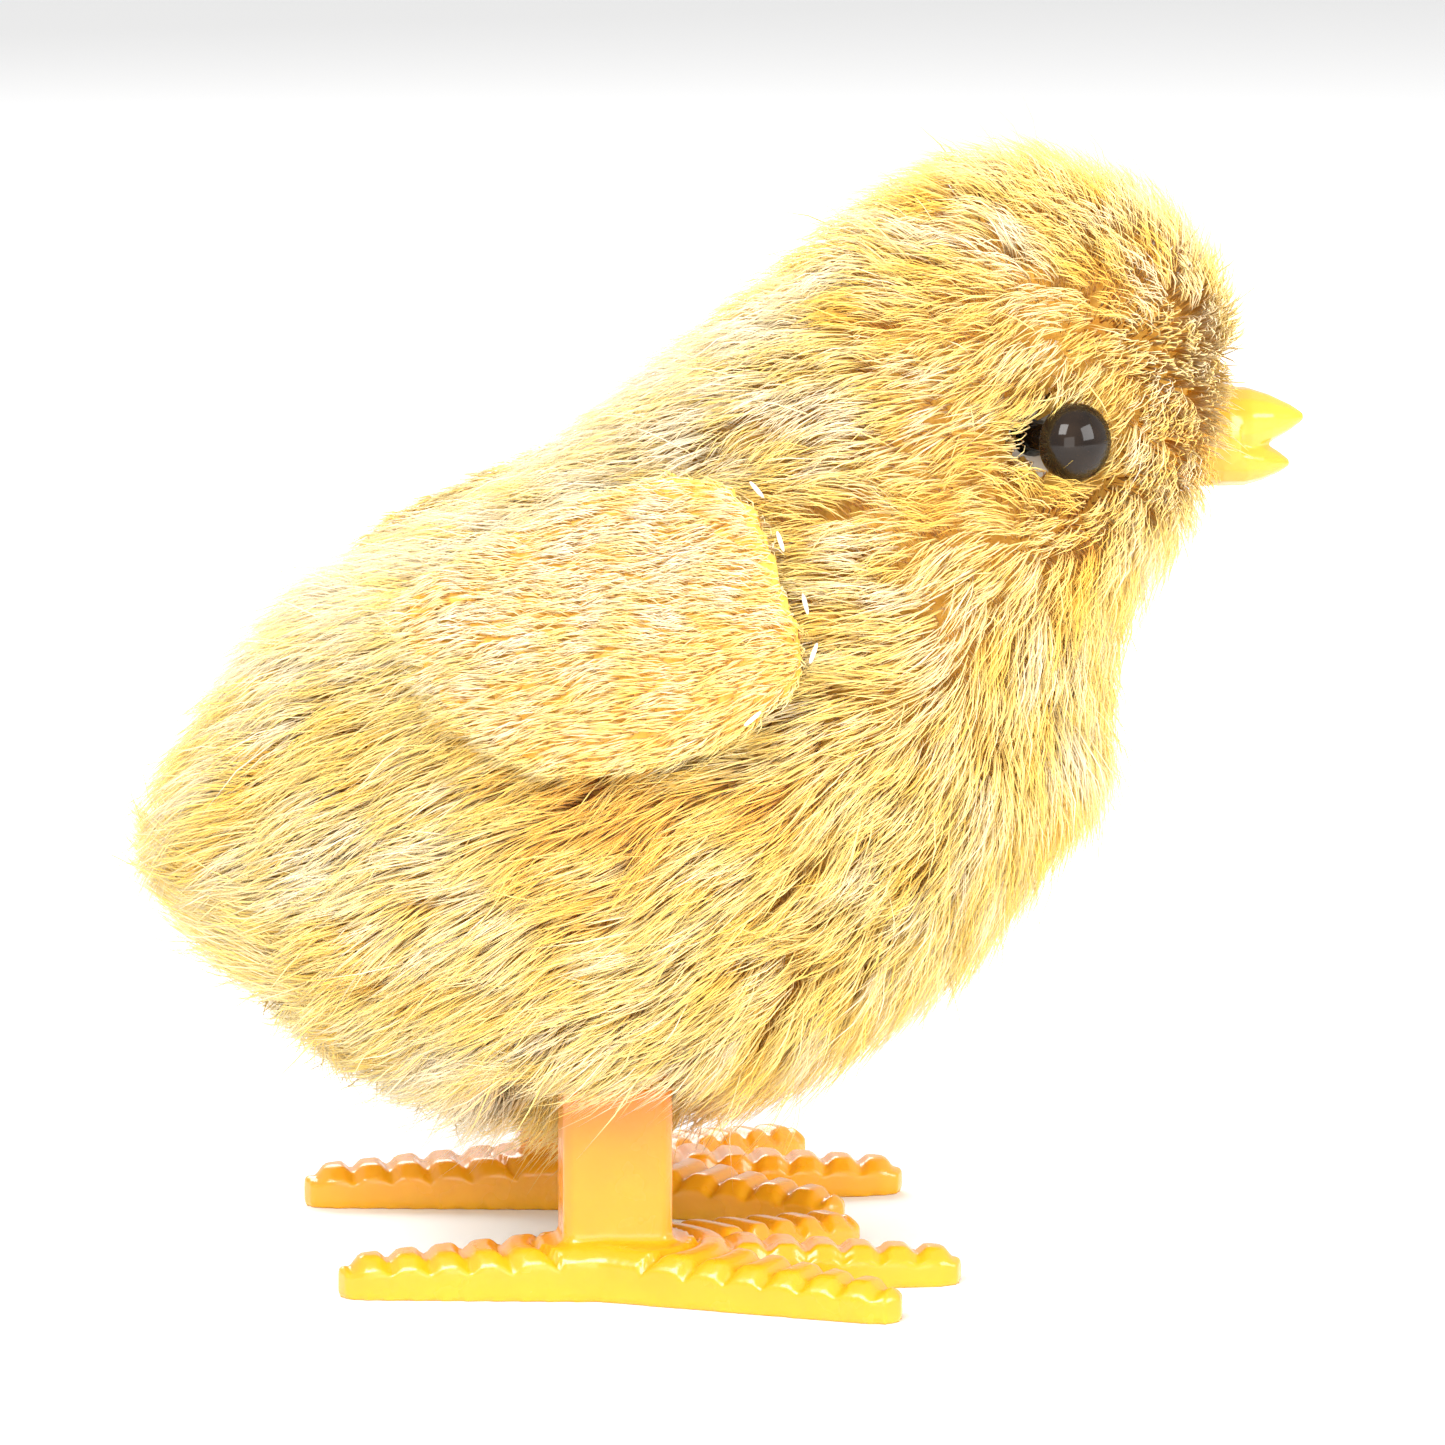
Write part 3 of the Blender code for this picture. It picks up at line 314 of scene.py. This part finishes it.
def turnedSteel(name, color, roughness):
    # brushed along the turning, so the streaks run round each axle
    material, tree, shader = newMaterial(name, roughness, Metallic=1.0)
    place = addNode(tree, "ShaderNodeTexCoord")
    stretch = addNode(tree, "ShaderNodeMapping")
    stretch.inputs["Scale"].default_value = (300, 4200, 300)
    tree.links.new(place.outputs["Object"], stretch.inputs["Vector"])
    streaks = addNode(tree, "ShaderNodeTexNoise", Scale=1.0, Detail=3.0)
    tree.links.new(stretch.outputs["Vector"], streaks.inputs["Vector"])
    dark = tuple(c * 0.72 for c in color)
    shade = ramp(tree, streaks.outputs["Fac"], [(0.3, dark), (0.7, color)])
    tree.links.new(shade, shader.inputs["Base Color"])
    shape = addNode(tree, "ShaderNodeBump", Strength=0.15, Distance=0.00005)
    tree.links.new(streaks.outputs["Fac"], shape.inputs["Height"])
    tree.links.new(shape.outputs["Normal"], shader.inputs["Normal"])
    return material


fur = furMaterial()
# the legs deepen from yellow at the feet to orange higher up: painted shade for the shadow of the fur above,
# not a change in the plastic
legPlastic = mouldedPlastic(
    "leg_orange", [(0.0, srgb("F3AE14")), (0.35, srgb("F09C16")), (1.0, srgb("EF8D12"))],
    0.26, 0.25, coat=0.4, subsurface=0.25,
)
beakPlastic = mouldedPlastic(
    "beak_yellow", [(0.0, srgb("F5A826")), (1.0, srgb("F7BE30"))],
    0.24, 0.2, coat=0.4, subsurface=0.25, low=0.050, high=0.058,
)
whitePlastic = mouldedPlastic(
    "shell_white", [(0.0, srgb("E9E5D9")), (1.0, srgb("F1EEE4"))], 0.42, 0.3, high=0.07,
)
knobPlastic = mouldedPlastic(
    "knob_white", [(0.0, srgb("F0EDE3")), (1.0, srgb("F6F4EC"))], 0.33, 0.2, coat=0.2, high=0.03,
)
gearPlastic = mouldedPlastic(
    "gear_natural", [(0.0, srgb("DEDDD2")), (1.0, srgb("E8E7DE"))], 0.40, 0.2, high=0.05,
)
bluePlastic = mouldedPlastic(
    "gear_blue", [(0.0, srgb("4470B4")), (1.0, srgb("5080C4"))], 0.38, 0.2, high=0.05,
)
steel = turnedSteel("axle_steel", (0.66, 0.66, 0.68), 0.30)
blueSteel = turnedSteel("spring_blue", (0.34, 0.37, 0.47), 0.26)
screwSteel = turnedSteel("screw_zinc", (0.62, 0.62, 0.60), 0.36)
eyeBlack, eyeTree, eyeShader = newMaterial("eye_bead", 0.07, Specular_IOR_Level=0.28)


def eyeMaterial():
    place = addNode(eyeTree, "ShaderNodeTexCoord")
    cloud = addNode(eyeTree, "ShaderNodeTexNoise", Scale=500.0, Detail=2.0)
    eyeTree.links.new(place.outputs["Object"], cloud.inputs["Vector"])
    color = ramp(eyeTree, cloud.outputs["Fac"], [(0.35, (0.010, 0.006, 0.004)), (0.7, (0.022, 0.013, 0.008))])
    eyeTree.links.new(color, eyeShader.inputs["Base Color"])


eyeMaterial()

nodeFinishes = {
    "body_shell": whitePlastic, "motor_case": whitePlastic, "axle_cap": whitePlastic,
    "shell_screw": screwSteel, "case_screw": screwSteel, "mainspring": blueSteel,
    "spring_pillar": steel, "spring_arbor": steel, "ratchet_wheel": steel, "click": steel,
    "crank_shaft": steel, "hip_axle": steel, "verge": steel, "crank_wheel": bluePlastic,
    "great_wheel": gearPlastic, "second_wheel": gearPlastic, "escape_wheel": gearPlastic,
    "crank_disc": gearPlastic, "winding_knob": knobPlastic,
}


def finishNodes():
    for name, node in nodes.items():
        for start, material in nodeFinishes.items():
            if name.startswith(start):
                node.data.materials.clear()
                node.data.materials.append(material)


finishNodes()
print("materials ready")


# ---------- legs ----------

footSettings = {
    "voxel": 0.26 * mm, "smoothing": 3, "scallopPitch": 2.45 * mm, "scallopDepth": 0.55 * mm,
    "hubRadius": 5.2 * mm, "soleBand": 1.3 * mm,
}


def buildLeg(key, side):
    leg = copyOf("leg_" + key, "leg_moulding_" + key)
    remeshed(leg, footSettings["voxel"], footSettings["smoothing"])
    points = pointsOf(leg.data)
    points[:, 2] = np.maximum(points[:, 2], 0)
    track = side * 15 * mm
    away = np.hypot(points[:, 0] - hip.x, points[:, 1] - track)
    start = footSettings["hubRadius"]
    phase = (away - start) / footSettings["scallopPitch"]
    dip = (0.5 + 0.5 * np.cos(2 * math.pi * phase)) ** 3
    height = np.clip((points[:, 2] - footSettings["soleBand"]) / (1.2 * mm), 0, 1)
    onToe = (away > start) & (points[:, 2] < 5 * mm)
    points[:, 2] -= np.where(onToe, dip * height * footSettings["scallopDepth"], 0)
    putPoints(leg.data, points)
    leg.data.materials.append(legPlastic)
    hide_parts("leg_" + key)
    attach(leg, "legs")


for key, side in sides.items():
    buildLeg(key, side)
print("legs ready")


# ---------- beak and eyes ----------

def buildBeak():
    beak = copyOf("beak", "beak_moulding")
    remeshed(beak, 0.16 * mm, 4)
    beak.data.materials.append(beakPlastic)
    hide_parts("beak")
    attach(beak, "body")


def eyeFrame(key):
    # the dome's axis runs from the shank's end to the dome's top
    points = pointsOf(nodes["eye_" + key].data)
    middle = points.mean(axis=0)
    spread = points - middle
    axis = np.linalg.svd(spread, full_matrices=False)[2][0]
    side = sides[key]
    axis = axis if axis[1] * side > 0 else -axis
    reach = (points @ axis).max()
    center = middle + axis * (reach - middle @ axis)
    return Vector(center), Vector(axis)


def buildEye(key):
    top, axis = eyeFrame(key)
    radius = 2.6 * mm
    shape = bmesh.new()
    bmesh.ops.create_uvsphere(shape, u_segments=48, v_segments=32, radius=radius)
    for vert in shape.verts:
        vert.co.z *= 0.78 if vert.co.z > 0 else 1.0
        vert.co.z = max(vert.co.z, -1.1 * mm)
    bmesh.ops.create_cone(
        shape, cap_ends=True, segments=24, radius1=0.9 * mm, radius2=0.9 * mm, depth=5.6 * mm,
        matrix=Matrix.Translation((0, 0, -3.7 * mm)),
    )
    place = Matrix.Translation(top - axis * radius * 0.78) @ axis.to_track_quat("Z", "Y").to_matrix().to_4x4()
    bmesh.ops.transform(shape, matrix=place, verts=shape.verts)
    eye = addPiece("eye_bead_" + key, shape)
    eye.data.shade_smooth()
    eye.data.materials.append(eyeBlack)
    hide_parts("eye_" + key)
    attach(eye, "body")


buildBeak()
for key in sides:
    buildEye(key)
print("beak and eyes ready")


# ---------- plush base ----------

skinSettings = {
    "center": Vector((1.0, 0.0, 37.0)) * mm, "detail": 6, "backing": 0.4 * mm, "thickness": 0.6 * mm,
    "smoothing": 6, "legHalfWidth": 3.2 * mm, "legReach": 6.2 * mm, "legTop": 19.5 * mm,
}


def bodySurface():
    # a fine ball drawn onto the outside of the plush solid
    tree = BVHTree.FromObject(nodes["plush_skin"], bpy.context.evaluated_depsgraph_get())
    shape = bmesh.new()
    bmesh.ops.create_icosphere(shape, subdivisions=skinSettings["detail"], radius=1)
    center = skinSettings["center"]
    for vert in shape.verts:
        way = vert.co.normalized()
        start = center + way * 0.09
        hit = tree.ray_cast(start, -way)[0]
        reach = (hit - center).length if hit else 0.02
        vert.co = center + way * max(reach, 0.012)
    bmesh.ops.smooth_vert(shape, verts=shape.verts, factor=0.5, **allAxes)
    for step in range(skinSettings["smoothing"]):
        bmesh.ops.smooth_vert(shape, verts=shape.verts, factor=0.6, **allAxes)
    shape.normal_update()
    return shape


eyes = {key: eyeFrame(key) for key in sides}
beakLow, beakHigh = boxOf("beak")
beakLine = Vector((0, 0, (beakLow.z + beakHigh.z) / 2))


def inHole(point):
    # where the legs, beak, eyes and knob shaft come through
    for side in sides.values():
        aside = abs(point.y - side * 15 * mm)
        along = abs(point.x - hip.x)
        beside = aside < skinSettings["legHalfWidth"] and along < skinSettings["legReach"]
        if beside and point.z < skinSettings["legTop"]:
            return True
    if point.x > 24 * mm and math.hypot(point.y, point.z - beakLine.z) < 3.9 * mm:
        return True
    for top, axis in eyes.values():
        offset = point - top
        if (offset - axis * offset.dot(axis)).length < 2.3 * mm and offset.length < 8 * mm:
            return True
    return point.y > 15 * mm and math.hypot(point.x - arbor.x, point.z - arbor.z) < 2.2 * mm


surface = bodySurface()
pileSettings = {
    "length": 5.0 * mm, "lift": 0.64, "headLift": 0.80, "headComb": 0.75, "proud": 0.5 * mm,
    "headShort": 0.26, "faceShort": 0.10, "hemLong": 0.15,
}


def headShare(points):
    x, y, z = points.T / mm
    return np.clip((z - 44) / 9, 0, 1) * np.clip((x + 4) / 14, 0, 1)


def pileForm(points):
    # how long the hairs are, how steeply they stand, and how deep their roots lie
    x, y, z = points.T / mm
    head = headShare(points)
    face = np.clip((x - 25) / 5, 0, 1) * np.clip((z - 46) / 4, 0, 1)
    share = 1 - pileSettings["headShort"] * head - pileSettings["faceShort"] * face
    share += pileSettings["hemLong"] * np.clip((14 - z) / 5, 0, 1)
    lift = pileSettings["lift"] + (pileSettings["headLift"] - pileSettings["lift"]) * head
    length = pileSettings["length"] * share
    return length, lift, lift * length - pileSettings["proud"]


def buildBacking():
    shape = surface.copy()
    depths = pileForm(np.array([vert.co for vert in shape.verts]))[2]
    for vert, depth in zip(shape.verts, depths):
        vert.co -= vert.normal * (depth + skinSettings["backing"])
    holes = [face for face in shape.faces if inHole(face.calc_center_median())]
    bmesh.ops.delete(shape, geom=holes, context="FACES")
    backing = addPiece("plush_backing", shape)
    backing.data.shade_smooth()
    wall = backing.modifiers.new("cloth", "SOLIDIFY")
    wall.thickness = skinSettings["thickness"]
    wall.offset = -1
    applyModifiers(backing)
    return backing


backing = buildBacking()
print("plush backing ready")


# ---------- fur ----------

def strandForm(rings):
    # one tapering three-sided hair, root ring first, its tip a point
    shape = bmesh.new()
    bmesh.ops.create_circle(shape, cap_ends=True, segments=3, radius=1)
    base = shape.faces[:][0]
    cap = base
    for step in range(rings - 1):
        pushed = bmesh.ops.extrude_face_region(shape, geom=[cap])["geom"]
        ring = [item for item in pushed if isinstance(item, bmesh.types.BMVert)]
        if cap is not base:
            bmesh.ops.delete(shape, geom=[cap], context="FACES_ONLY")
        cap = [item for item in pushed if isinstance(item, bmesh.types.BMFace)][0]
        bmesh.ops.translate(shape, verts=ring, vec=(0, 0, 1))
    bmesh.ops.poke(shape, faces=[cap])
    top = max(shape.verts, key=lambda vert: len(vert.link_faces) == 3 and vert.co.xy.length < 0.1)
    top.co.z += 1
    bmesh.ops.recalc_face_normals(shape, faces=shape.faces)
    bmesh.ops.triangulate(shape, faces=shape.faces)
    shape.verts.index_update()
    points = np.array([vert.co for vert in shape.verts])
    faces = np.array([[vert.index for vert in face.verts] for face in shape.faces])
    shape.free()
    points[:, 2] /= points[:, 2].max()
    return points, faces


def growFur(name, roots, normals, combs, lengths, widths, tones, rings, lifts):
    # a lift is how steeply a hair leaves the cloth before it lies down along its comb
    form, faces = strandForm(rings)
    count = len(roots)
    along = form[:, 2]
    rise = (along - 0.5 * along**2) * 2
    lean = along**1.6
    path = (
        roots[:, None, :]
        + normals[:, None, :] * ((lengths * lifts)[:, None] * rise)[..., None]
        + combs[:, None, :] * (lengths[:, None] * lean)[..., None]
    )
    across = np.cross(combs, normals)
    across /= np.maximum(np.linalg.norm(across, axis=1), 1e-9)[:, None]
    taper = 1 - 0.75 * along
    taper[along > 0.99] = 0
    spread = widths[:, None] * taper
    path += across[:, None, :] * (spread * form[:, 0])[..., None]
    path += normals[:, None, :] * (spread * form[:, 1] * 0.7)[..., None]
    allFaces = (faces[None] + (np.arange(count) * len(form))[:, None, None]).reshape(-1, 3)
    mesh = bpy.data.meshes.new(name)
    mesh.vertices.add(count * len(form))
    mesh.vertices.foreach_set("co", path.ravel())
    mesh.loops.add(len(allFaces) * 3)
    mesh.loops.foreach_set("vertex_index", allFaces.ravel().astype(np.int32))
    mesh.polygons.add(len(allFaces))
    mesh.polygons.foreach_set("loop_start", np.arange(len(allFaces)) * 3)
    mesh.polygons.foreach_set("loop_total", np.full(len(allFaces), 3))
    mesh.update(calc_edges=True)
    layer = mesh.uv_layers.new(name="OFBake")
    turn = np.arctan2(form[:, 1], form[:, 0]) / math.tau * 0.006
    u = np.clip(tones[:, None], 0.01, 0.99) + turn[None]
    v = np.broadcast_to(0.01 + 0.98 * along, u.shape)
    uv = np.stack([u, v], axis=-1).reshape(-1, 2)[allFaces.ravel()]
    layer.data.foreach_set("uv", uv.ravel())
    mesh.validate()
    piece = bpy.data.objects.new(name, mesh)
    bpy.context.scene.collection.objects.link(piece)
    mesh.materials.append(fur)
    mesh.shade_smooth()
    return piece


furSettings = {
    "seed": 7, "hairs": 84000, "width": 0.085 * mm, "clumps": 2400, "clumpPull": 0.6, "stray": 0.05,
}


def smoothNoise(points, scale, seed):
    # a sum of a few slow waves in set directions, between about -1 and 1
    waves = np.random.default_rng(seed)
    total = np.zeros(len(points))
    for step in range(7):
        way = waves.normal(size=3)
        way /= np.linalg.norm(way)
        total += np.sin(points @ way * (2 * math.pi / scale) * waves.uniform(0.6, 1.6) + waves.uniform(0, 7))
    return total / 3.5


def scatter(shape, count, seed, avoid):
    # even random points on a bmesh's triangles, with their normals
    draws = np.random.default_rng(seed)
    faces = [face for face in shape.faces if not avoid(face.calc_center_median())]
    corners = np.array([[vert.co for vert in face.verts] for face in faces])
    bends = np.array([[vert.normal for vert in face.verts] for face in faces])
    areas = np.array([face.calc_area() for face in faces])
    picked = draws.choice(len(faces), size=count, p=areas / areas.sum())
    a, b = draws.random(count), draws.random(count)
    flip = a + b > 1
    a[flip], b[flip] = 1 - a[flip], 1 - b[flip]
    weights = np.stack([1 - a - b, a, b], axis=1)
    points = (corners[picked] * weights[..., None]).sum(axis=1)
    normals = (bends[picked] * weights[..., None]).sum(axis=1)
    return points, normals / np.linalg.norm(normals, axis=1)[:, None], draws


def clumped(points, combs, lengths, clumps, pull, draws):
    # hairs lean to the middle of their tuft
    chosen = draws.choice(len(points), size=clumps, replace=False)
    tree = KDTree(clumps)
    for index, place in enumerate(points[chosen]):
        tree.insert(place, index)
    tree.balance()
    nearest = np.array([tree.find(place)[1] for place in points])
    strength = draws.uniform(0.3, 1.0, clumps)[nearest] * pull
    toMiddle = points[chosen][nearest] - points
    tuftComb = combs[chosen][nearest]
    combs = combs * 0.6 + tuftComb * 0.4 + toMiddle / lengths[:, None] * strength[:, None]
    return combs, nearest


def bodyCombs(points, normals):
    # the pile lies back and down, up over the crown, and out at the tail
    x, y, z = points.T / mm
    flow = np.stack([-np.ones(len(points)), np.zeros(len(points)), -0.42 * np.ones(len(points))], axis=1)
    breast = np.clip((x - 10) / 14, 0, 1) * np.clip((50 - z) / 12, 0, 1)
    flow += breast[:, None] * np.array((0.55, 0, -1.3))
    under = np.clip((20 - z) / 8, 0, 1)
    flow += under[:, None] * np.array((0.3, 0, -0.9))
    crown = np.clip((z - 60) / 10, 0, 1)
    flow += crown[:, None] * np.array((0.2, 0, 0.75))
    face = np.clip((x - 24) / 8, 0, 1) * np.clip((z - 48) / 4, 0, 1)
    away = np.stack([np.zeros(len(points)), y, z - 54], axis=1)
    away /= np.maximum(np.linalg.norm(away, axis=1), 0.3)[:, None]
    flow += face[:, None] * away * 1.0
    tail = np.clip((-30 - x) / 7, 0, 1)
    flow += tail[:, None] * np.array((-1.0, 0, 0.35))
    flow += 0.30 * np.stack([smoothNoise(points, 9 * mm, seed) for seed in (1, 2, 3)], axis=1)
    flow += 0.22 * np.stack([smoothNoise(points, 3.5 * mm, seed) for seed in (4, 5, 6)], axis=1)
    flow -= normals * (flow * normals).sum(axis=1)[:, None]
    return flow / np.linalg.norm(flow, axis=1)[:, None]


def bodyTones(points, draws):
    # cream on the back and rump, golden round the eyes, a band of painted shadow in deeper orange under each
    # wing, paler elsewhere
    x, y, z = points.T / mm
    tone = np.full(len(points), 0.50)
    tone += 0.17 * smoothNoise(points, 7 * mm, 11) + 0.10 * smoothNoise(points, 2.6 * mm, 12)
    back = np.clip((z - (36 + 0.55 * (x + 30))) / 8, 0, 1) * np.clip((10 - x) / 10, 0, 1)
    tone -= 0.22 * back
    rump = np.clip((18 - z) / 8, 0, 1) * np.clip((-8 - x) / 10, 0, 1)
    tone -= 0.28 * rump
    for top, axis in eyes.values():
        near = np.exp(-(np.linalg.norm(points - np.array(top), axis=1) / (6.5 * mm)) ** 2)
        tone += 0.14 * near
    # painted shadow: a deeper orange band on the body's side where the wing's lower edge shades it
    wing = np.exp(-((x + 9) / 13) ** 2 - ((z - 34.5) / 3) ** 2) * np.clip((np.abs(y) - 12) / 6, 0, 1)
    tone += 0.40 * wing
    tone += draws.normal(0, 0.07, len(points))
    return np.clip(tone, 0.02, 0.98)


def growBody():
    points, normals, draws = scatter(surface, furSettings["hairs"], furSettings["seed"], inHole)
    count = len(points)
    length, lift, depth = pileForm(points)
    head = headShare(points)
    combs = bodyCombs(points, normals) * (1 - (1 - pileSettings["headComb"]) * head)[:, None]
    strays = draws.random(count) < furSettings["stray"]
    lengths = length * draws.uniform(0.70, 1.15, count) * np.where(strays, 1.2, 1.0)
    combs, tuft = clumped(points, combs, lengths, furSettings["clumps"], furSettings["clumpPull"], draws)
    combs += draws.normal(0, 0.10, combs.shape) * np.where(strays, 2.5, 1.0)[:, None]
    tuftTone = draws.normal(0, 0.06, furSettings["clumps"])[tuft]
    tones = np.clip(bodyTones(points, draws) + tuftTone, 0.02, 0.98)
    widths = furSettings["width"] * draws.uniform(0.7, 1.3, count)
    roots = points - normals * depth[:, None]
    order = np.argsort(points[:, 0] + 0.35 * points[:, 2], kind="stable")
    for number, picked in enumerate(np.array_split(order, 8), start=1):
        piece = growFur(
            f"body_fur_{number}", roots[picked], normals[picked], combs[picked], lengths[picked],
            widths[picked], tones[picked], 3, lift[picked],
        )
        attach(piece, "body")
        if number == 1:
            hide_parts("plush_skin")


growBody()
backing.data.materials.clear()


def backingMaterial():
    material, tree, shader = newMaterial("plush_cloth", 0.9)
    place = addNode(tree, "ShaderNodeTexCoord")
    knit = addNode(tree, "ShaderNodeTexVoronoi", Scale=1600.0)
    tree.links.new(place.outputs["Object"], knit.inputs["Vector"])
    color = ramp(tree, knit.outputs["Distance"], [(0.0, srgb("F4C860")), (1.0, srgb("E9A93A"))])
    tree.links.new(color, shader.inputs["Base Color"])
    shape = addNode(tree, "ShaderNodeBump", Strength=0.6, Distance=0.0002)
    tree.links.new(knit.outputs["Distance"], shape.inputs["Height"])
    tree.links.new(shape.outputs["Normal"], shader.inputs["Normal"])
    return material


def threadMaterial():
    material, tree, shader = newMaterial("stitch_thread", 0.7)
    place = addNode(tree, "ShaderNodeTexCoord")
    ply = addNode(tree, "ShaderNodeTexNoise", Scale=3500.0, Detail=2.0)
    tree.links.new(place.outputs["Object"], ply.inputs["Vector"])
    color = ramp(tree, ply.outputs["Fac"], [(0.3, srgb("F1E8D2")), (0.7, srgb("FFFBF0"))])
    tree.links.new(color, shader.inputs["Base Color"])
    return material


clothMaterial = backingMaterial()
threadWhite = threadMaterial()
backing.data.materials.append(clothMaterial)
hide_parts("plush_skin")
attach(backing, "body")
print("body fur ready")


# ---------- wings ----------

wingSettings = {
    "hairs": 12000, "length": 1.9 * mm, "width": 0.08 * mm, "seed": 21, "shrink": 0.5 * mm, "lift": 0.42,
    "tufts": 500, "stitchLength": 1.5 * mm, "stitchRadius": 0.15 * mm,
    "stitches": (
        (-0.2, 52.3, -50), (0.8, 49.4, -72), (1.9, 45.9, -76), (2.0, 43.4, -110), (-1.6, 39.6, -140),
    ),
}


def buildStitches(key, side):
    # short white stitches that hold the wing's front edge to the body
    tree = BVHTree.FromObject(nodes["wing_" + key], bpy.context.evaluated_depsgraph_get())
    shape = bmesh.new()
    radius = wingSettings["stitchRadius"]
    for x, z, slope in wingSettings["stitches"]:
        start = Vector((x * mm, side * 0.05, z * mm))
        place, normal = tree.ray_cast(start, Vector((0, -side, 0)))[:2]
        if place is None:
            continue
        made = bmesh.ops.create_uvsphere(shape, u_segments=10, v_segments=8, radius=radius)["verts"]
        bmesh.ops.scale(shape, verts=made, vec=(wingSettings["stitchLength"] / 2 / radius, 1, 1))
        turn = Matrix.Rotation(math.radians(-slope), 4, "Y")
        spot = place + normal * (0.9 * mm + radius)
        bmesh.ops.transform(shape, matrix=Matrix.Translation(spot) @ turn, verts=made)
    stitches = addPiece("wing_" + key + "_stitches", shape)
    stitches.data.shade_smooth()
    stitches.data.materials.append(threadWhite)
    return stitches


def buildWing(key, side):
    wing = copyOf("wing_" + key, "wing_" + key + "_cloth")
    remeshed(wing, 0.45 * mm, 6)
    points = pointsOf(wing.data)
    shape = bmesh.new()
    shape.from_mesh(wing.data)
    bmesh.ops.triangulate(shape, faces=shape.faces)
    shape.normal_update()
    seed = wingSettings["seed"] + side
    roots, normals, draws = scatter(shape, wingSettings["hairs"], seed, lambda p: False)
    for vert in shape.verts:
        vert.co -= vert.normal * wingSettings["shrink"]
    shape.to_mesh(wing.data)
    shape.free()
    wing.data.materials.append(clothMaterial)
    wing.data.shade_smooth()
    x, y, z = roots.T / mm
    flow = np.tile(np.array((-1.0, 0.0, -0.25)), (len(roots), 1))
    flow += 0.25 * np.stack([smoothNoise(roots, 6 * mm, seed) for seed in (31, 32, 33)], axis=1)
    flow -= normals * (flow * normals).sum(axis=1)[:, None]
    combs = flow / np.maximum(np.linalg.norm(flow, axis=1), 0.2)[:, None]
    lengths = wingSettings["length"] * draws.uniform(0.7, 1.2, len(roots))
    tufts = wingSettings["tufts"]
    combs, tuft = clumped(roots, combs, lengths, tufts, 0.5, draws)
    combs += draws.normal(0, 0.12, combs.shape)
    upper = np.clip((z - (41 + 0.25 * x)) / 8, 0, 1)
    tones = 0.52 - 0.20 * upper + 0.10 * smoothNoise(roots, 4 * mm, 34)
    tones += draws.normal(0, 0.06, len(roots)) + draws.normal(0, 0.05, tufts)[tuft]
    # painted shade: the wing's face turned towards the body is coloured deeper orange
    shadedInnerFace = normals[:, 1] * side < -0.2
    tones = np.where(shadedInnerFace, tones + 0.25, tones)
    widths = wingSettings["width"] * draws.uniform(0.7, 1.3, len(roots))
    pile = growFur(
        "wing_" + key + "_fur", roots - normals * wingSettings["shrink"], normals, combs, lengths, widths,
        np.clip(tones, 0.02, 0.98), 2, np.full(len(roots), wingSettings["lift"]),
    )
    for piece in (wing, pile, buildStitches(key, side)):
        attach(piece, "wing_" + key)
        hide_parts("wing_" + key)


for key, side in sides.items():
    buildWing(key, side)
print("wings ready")
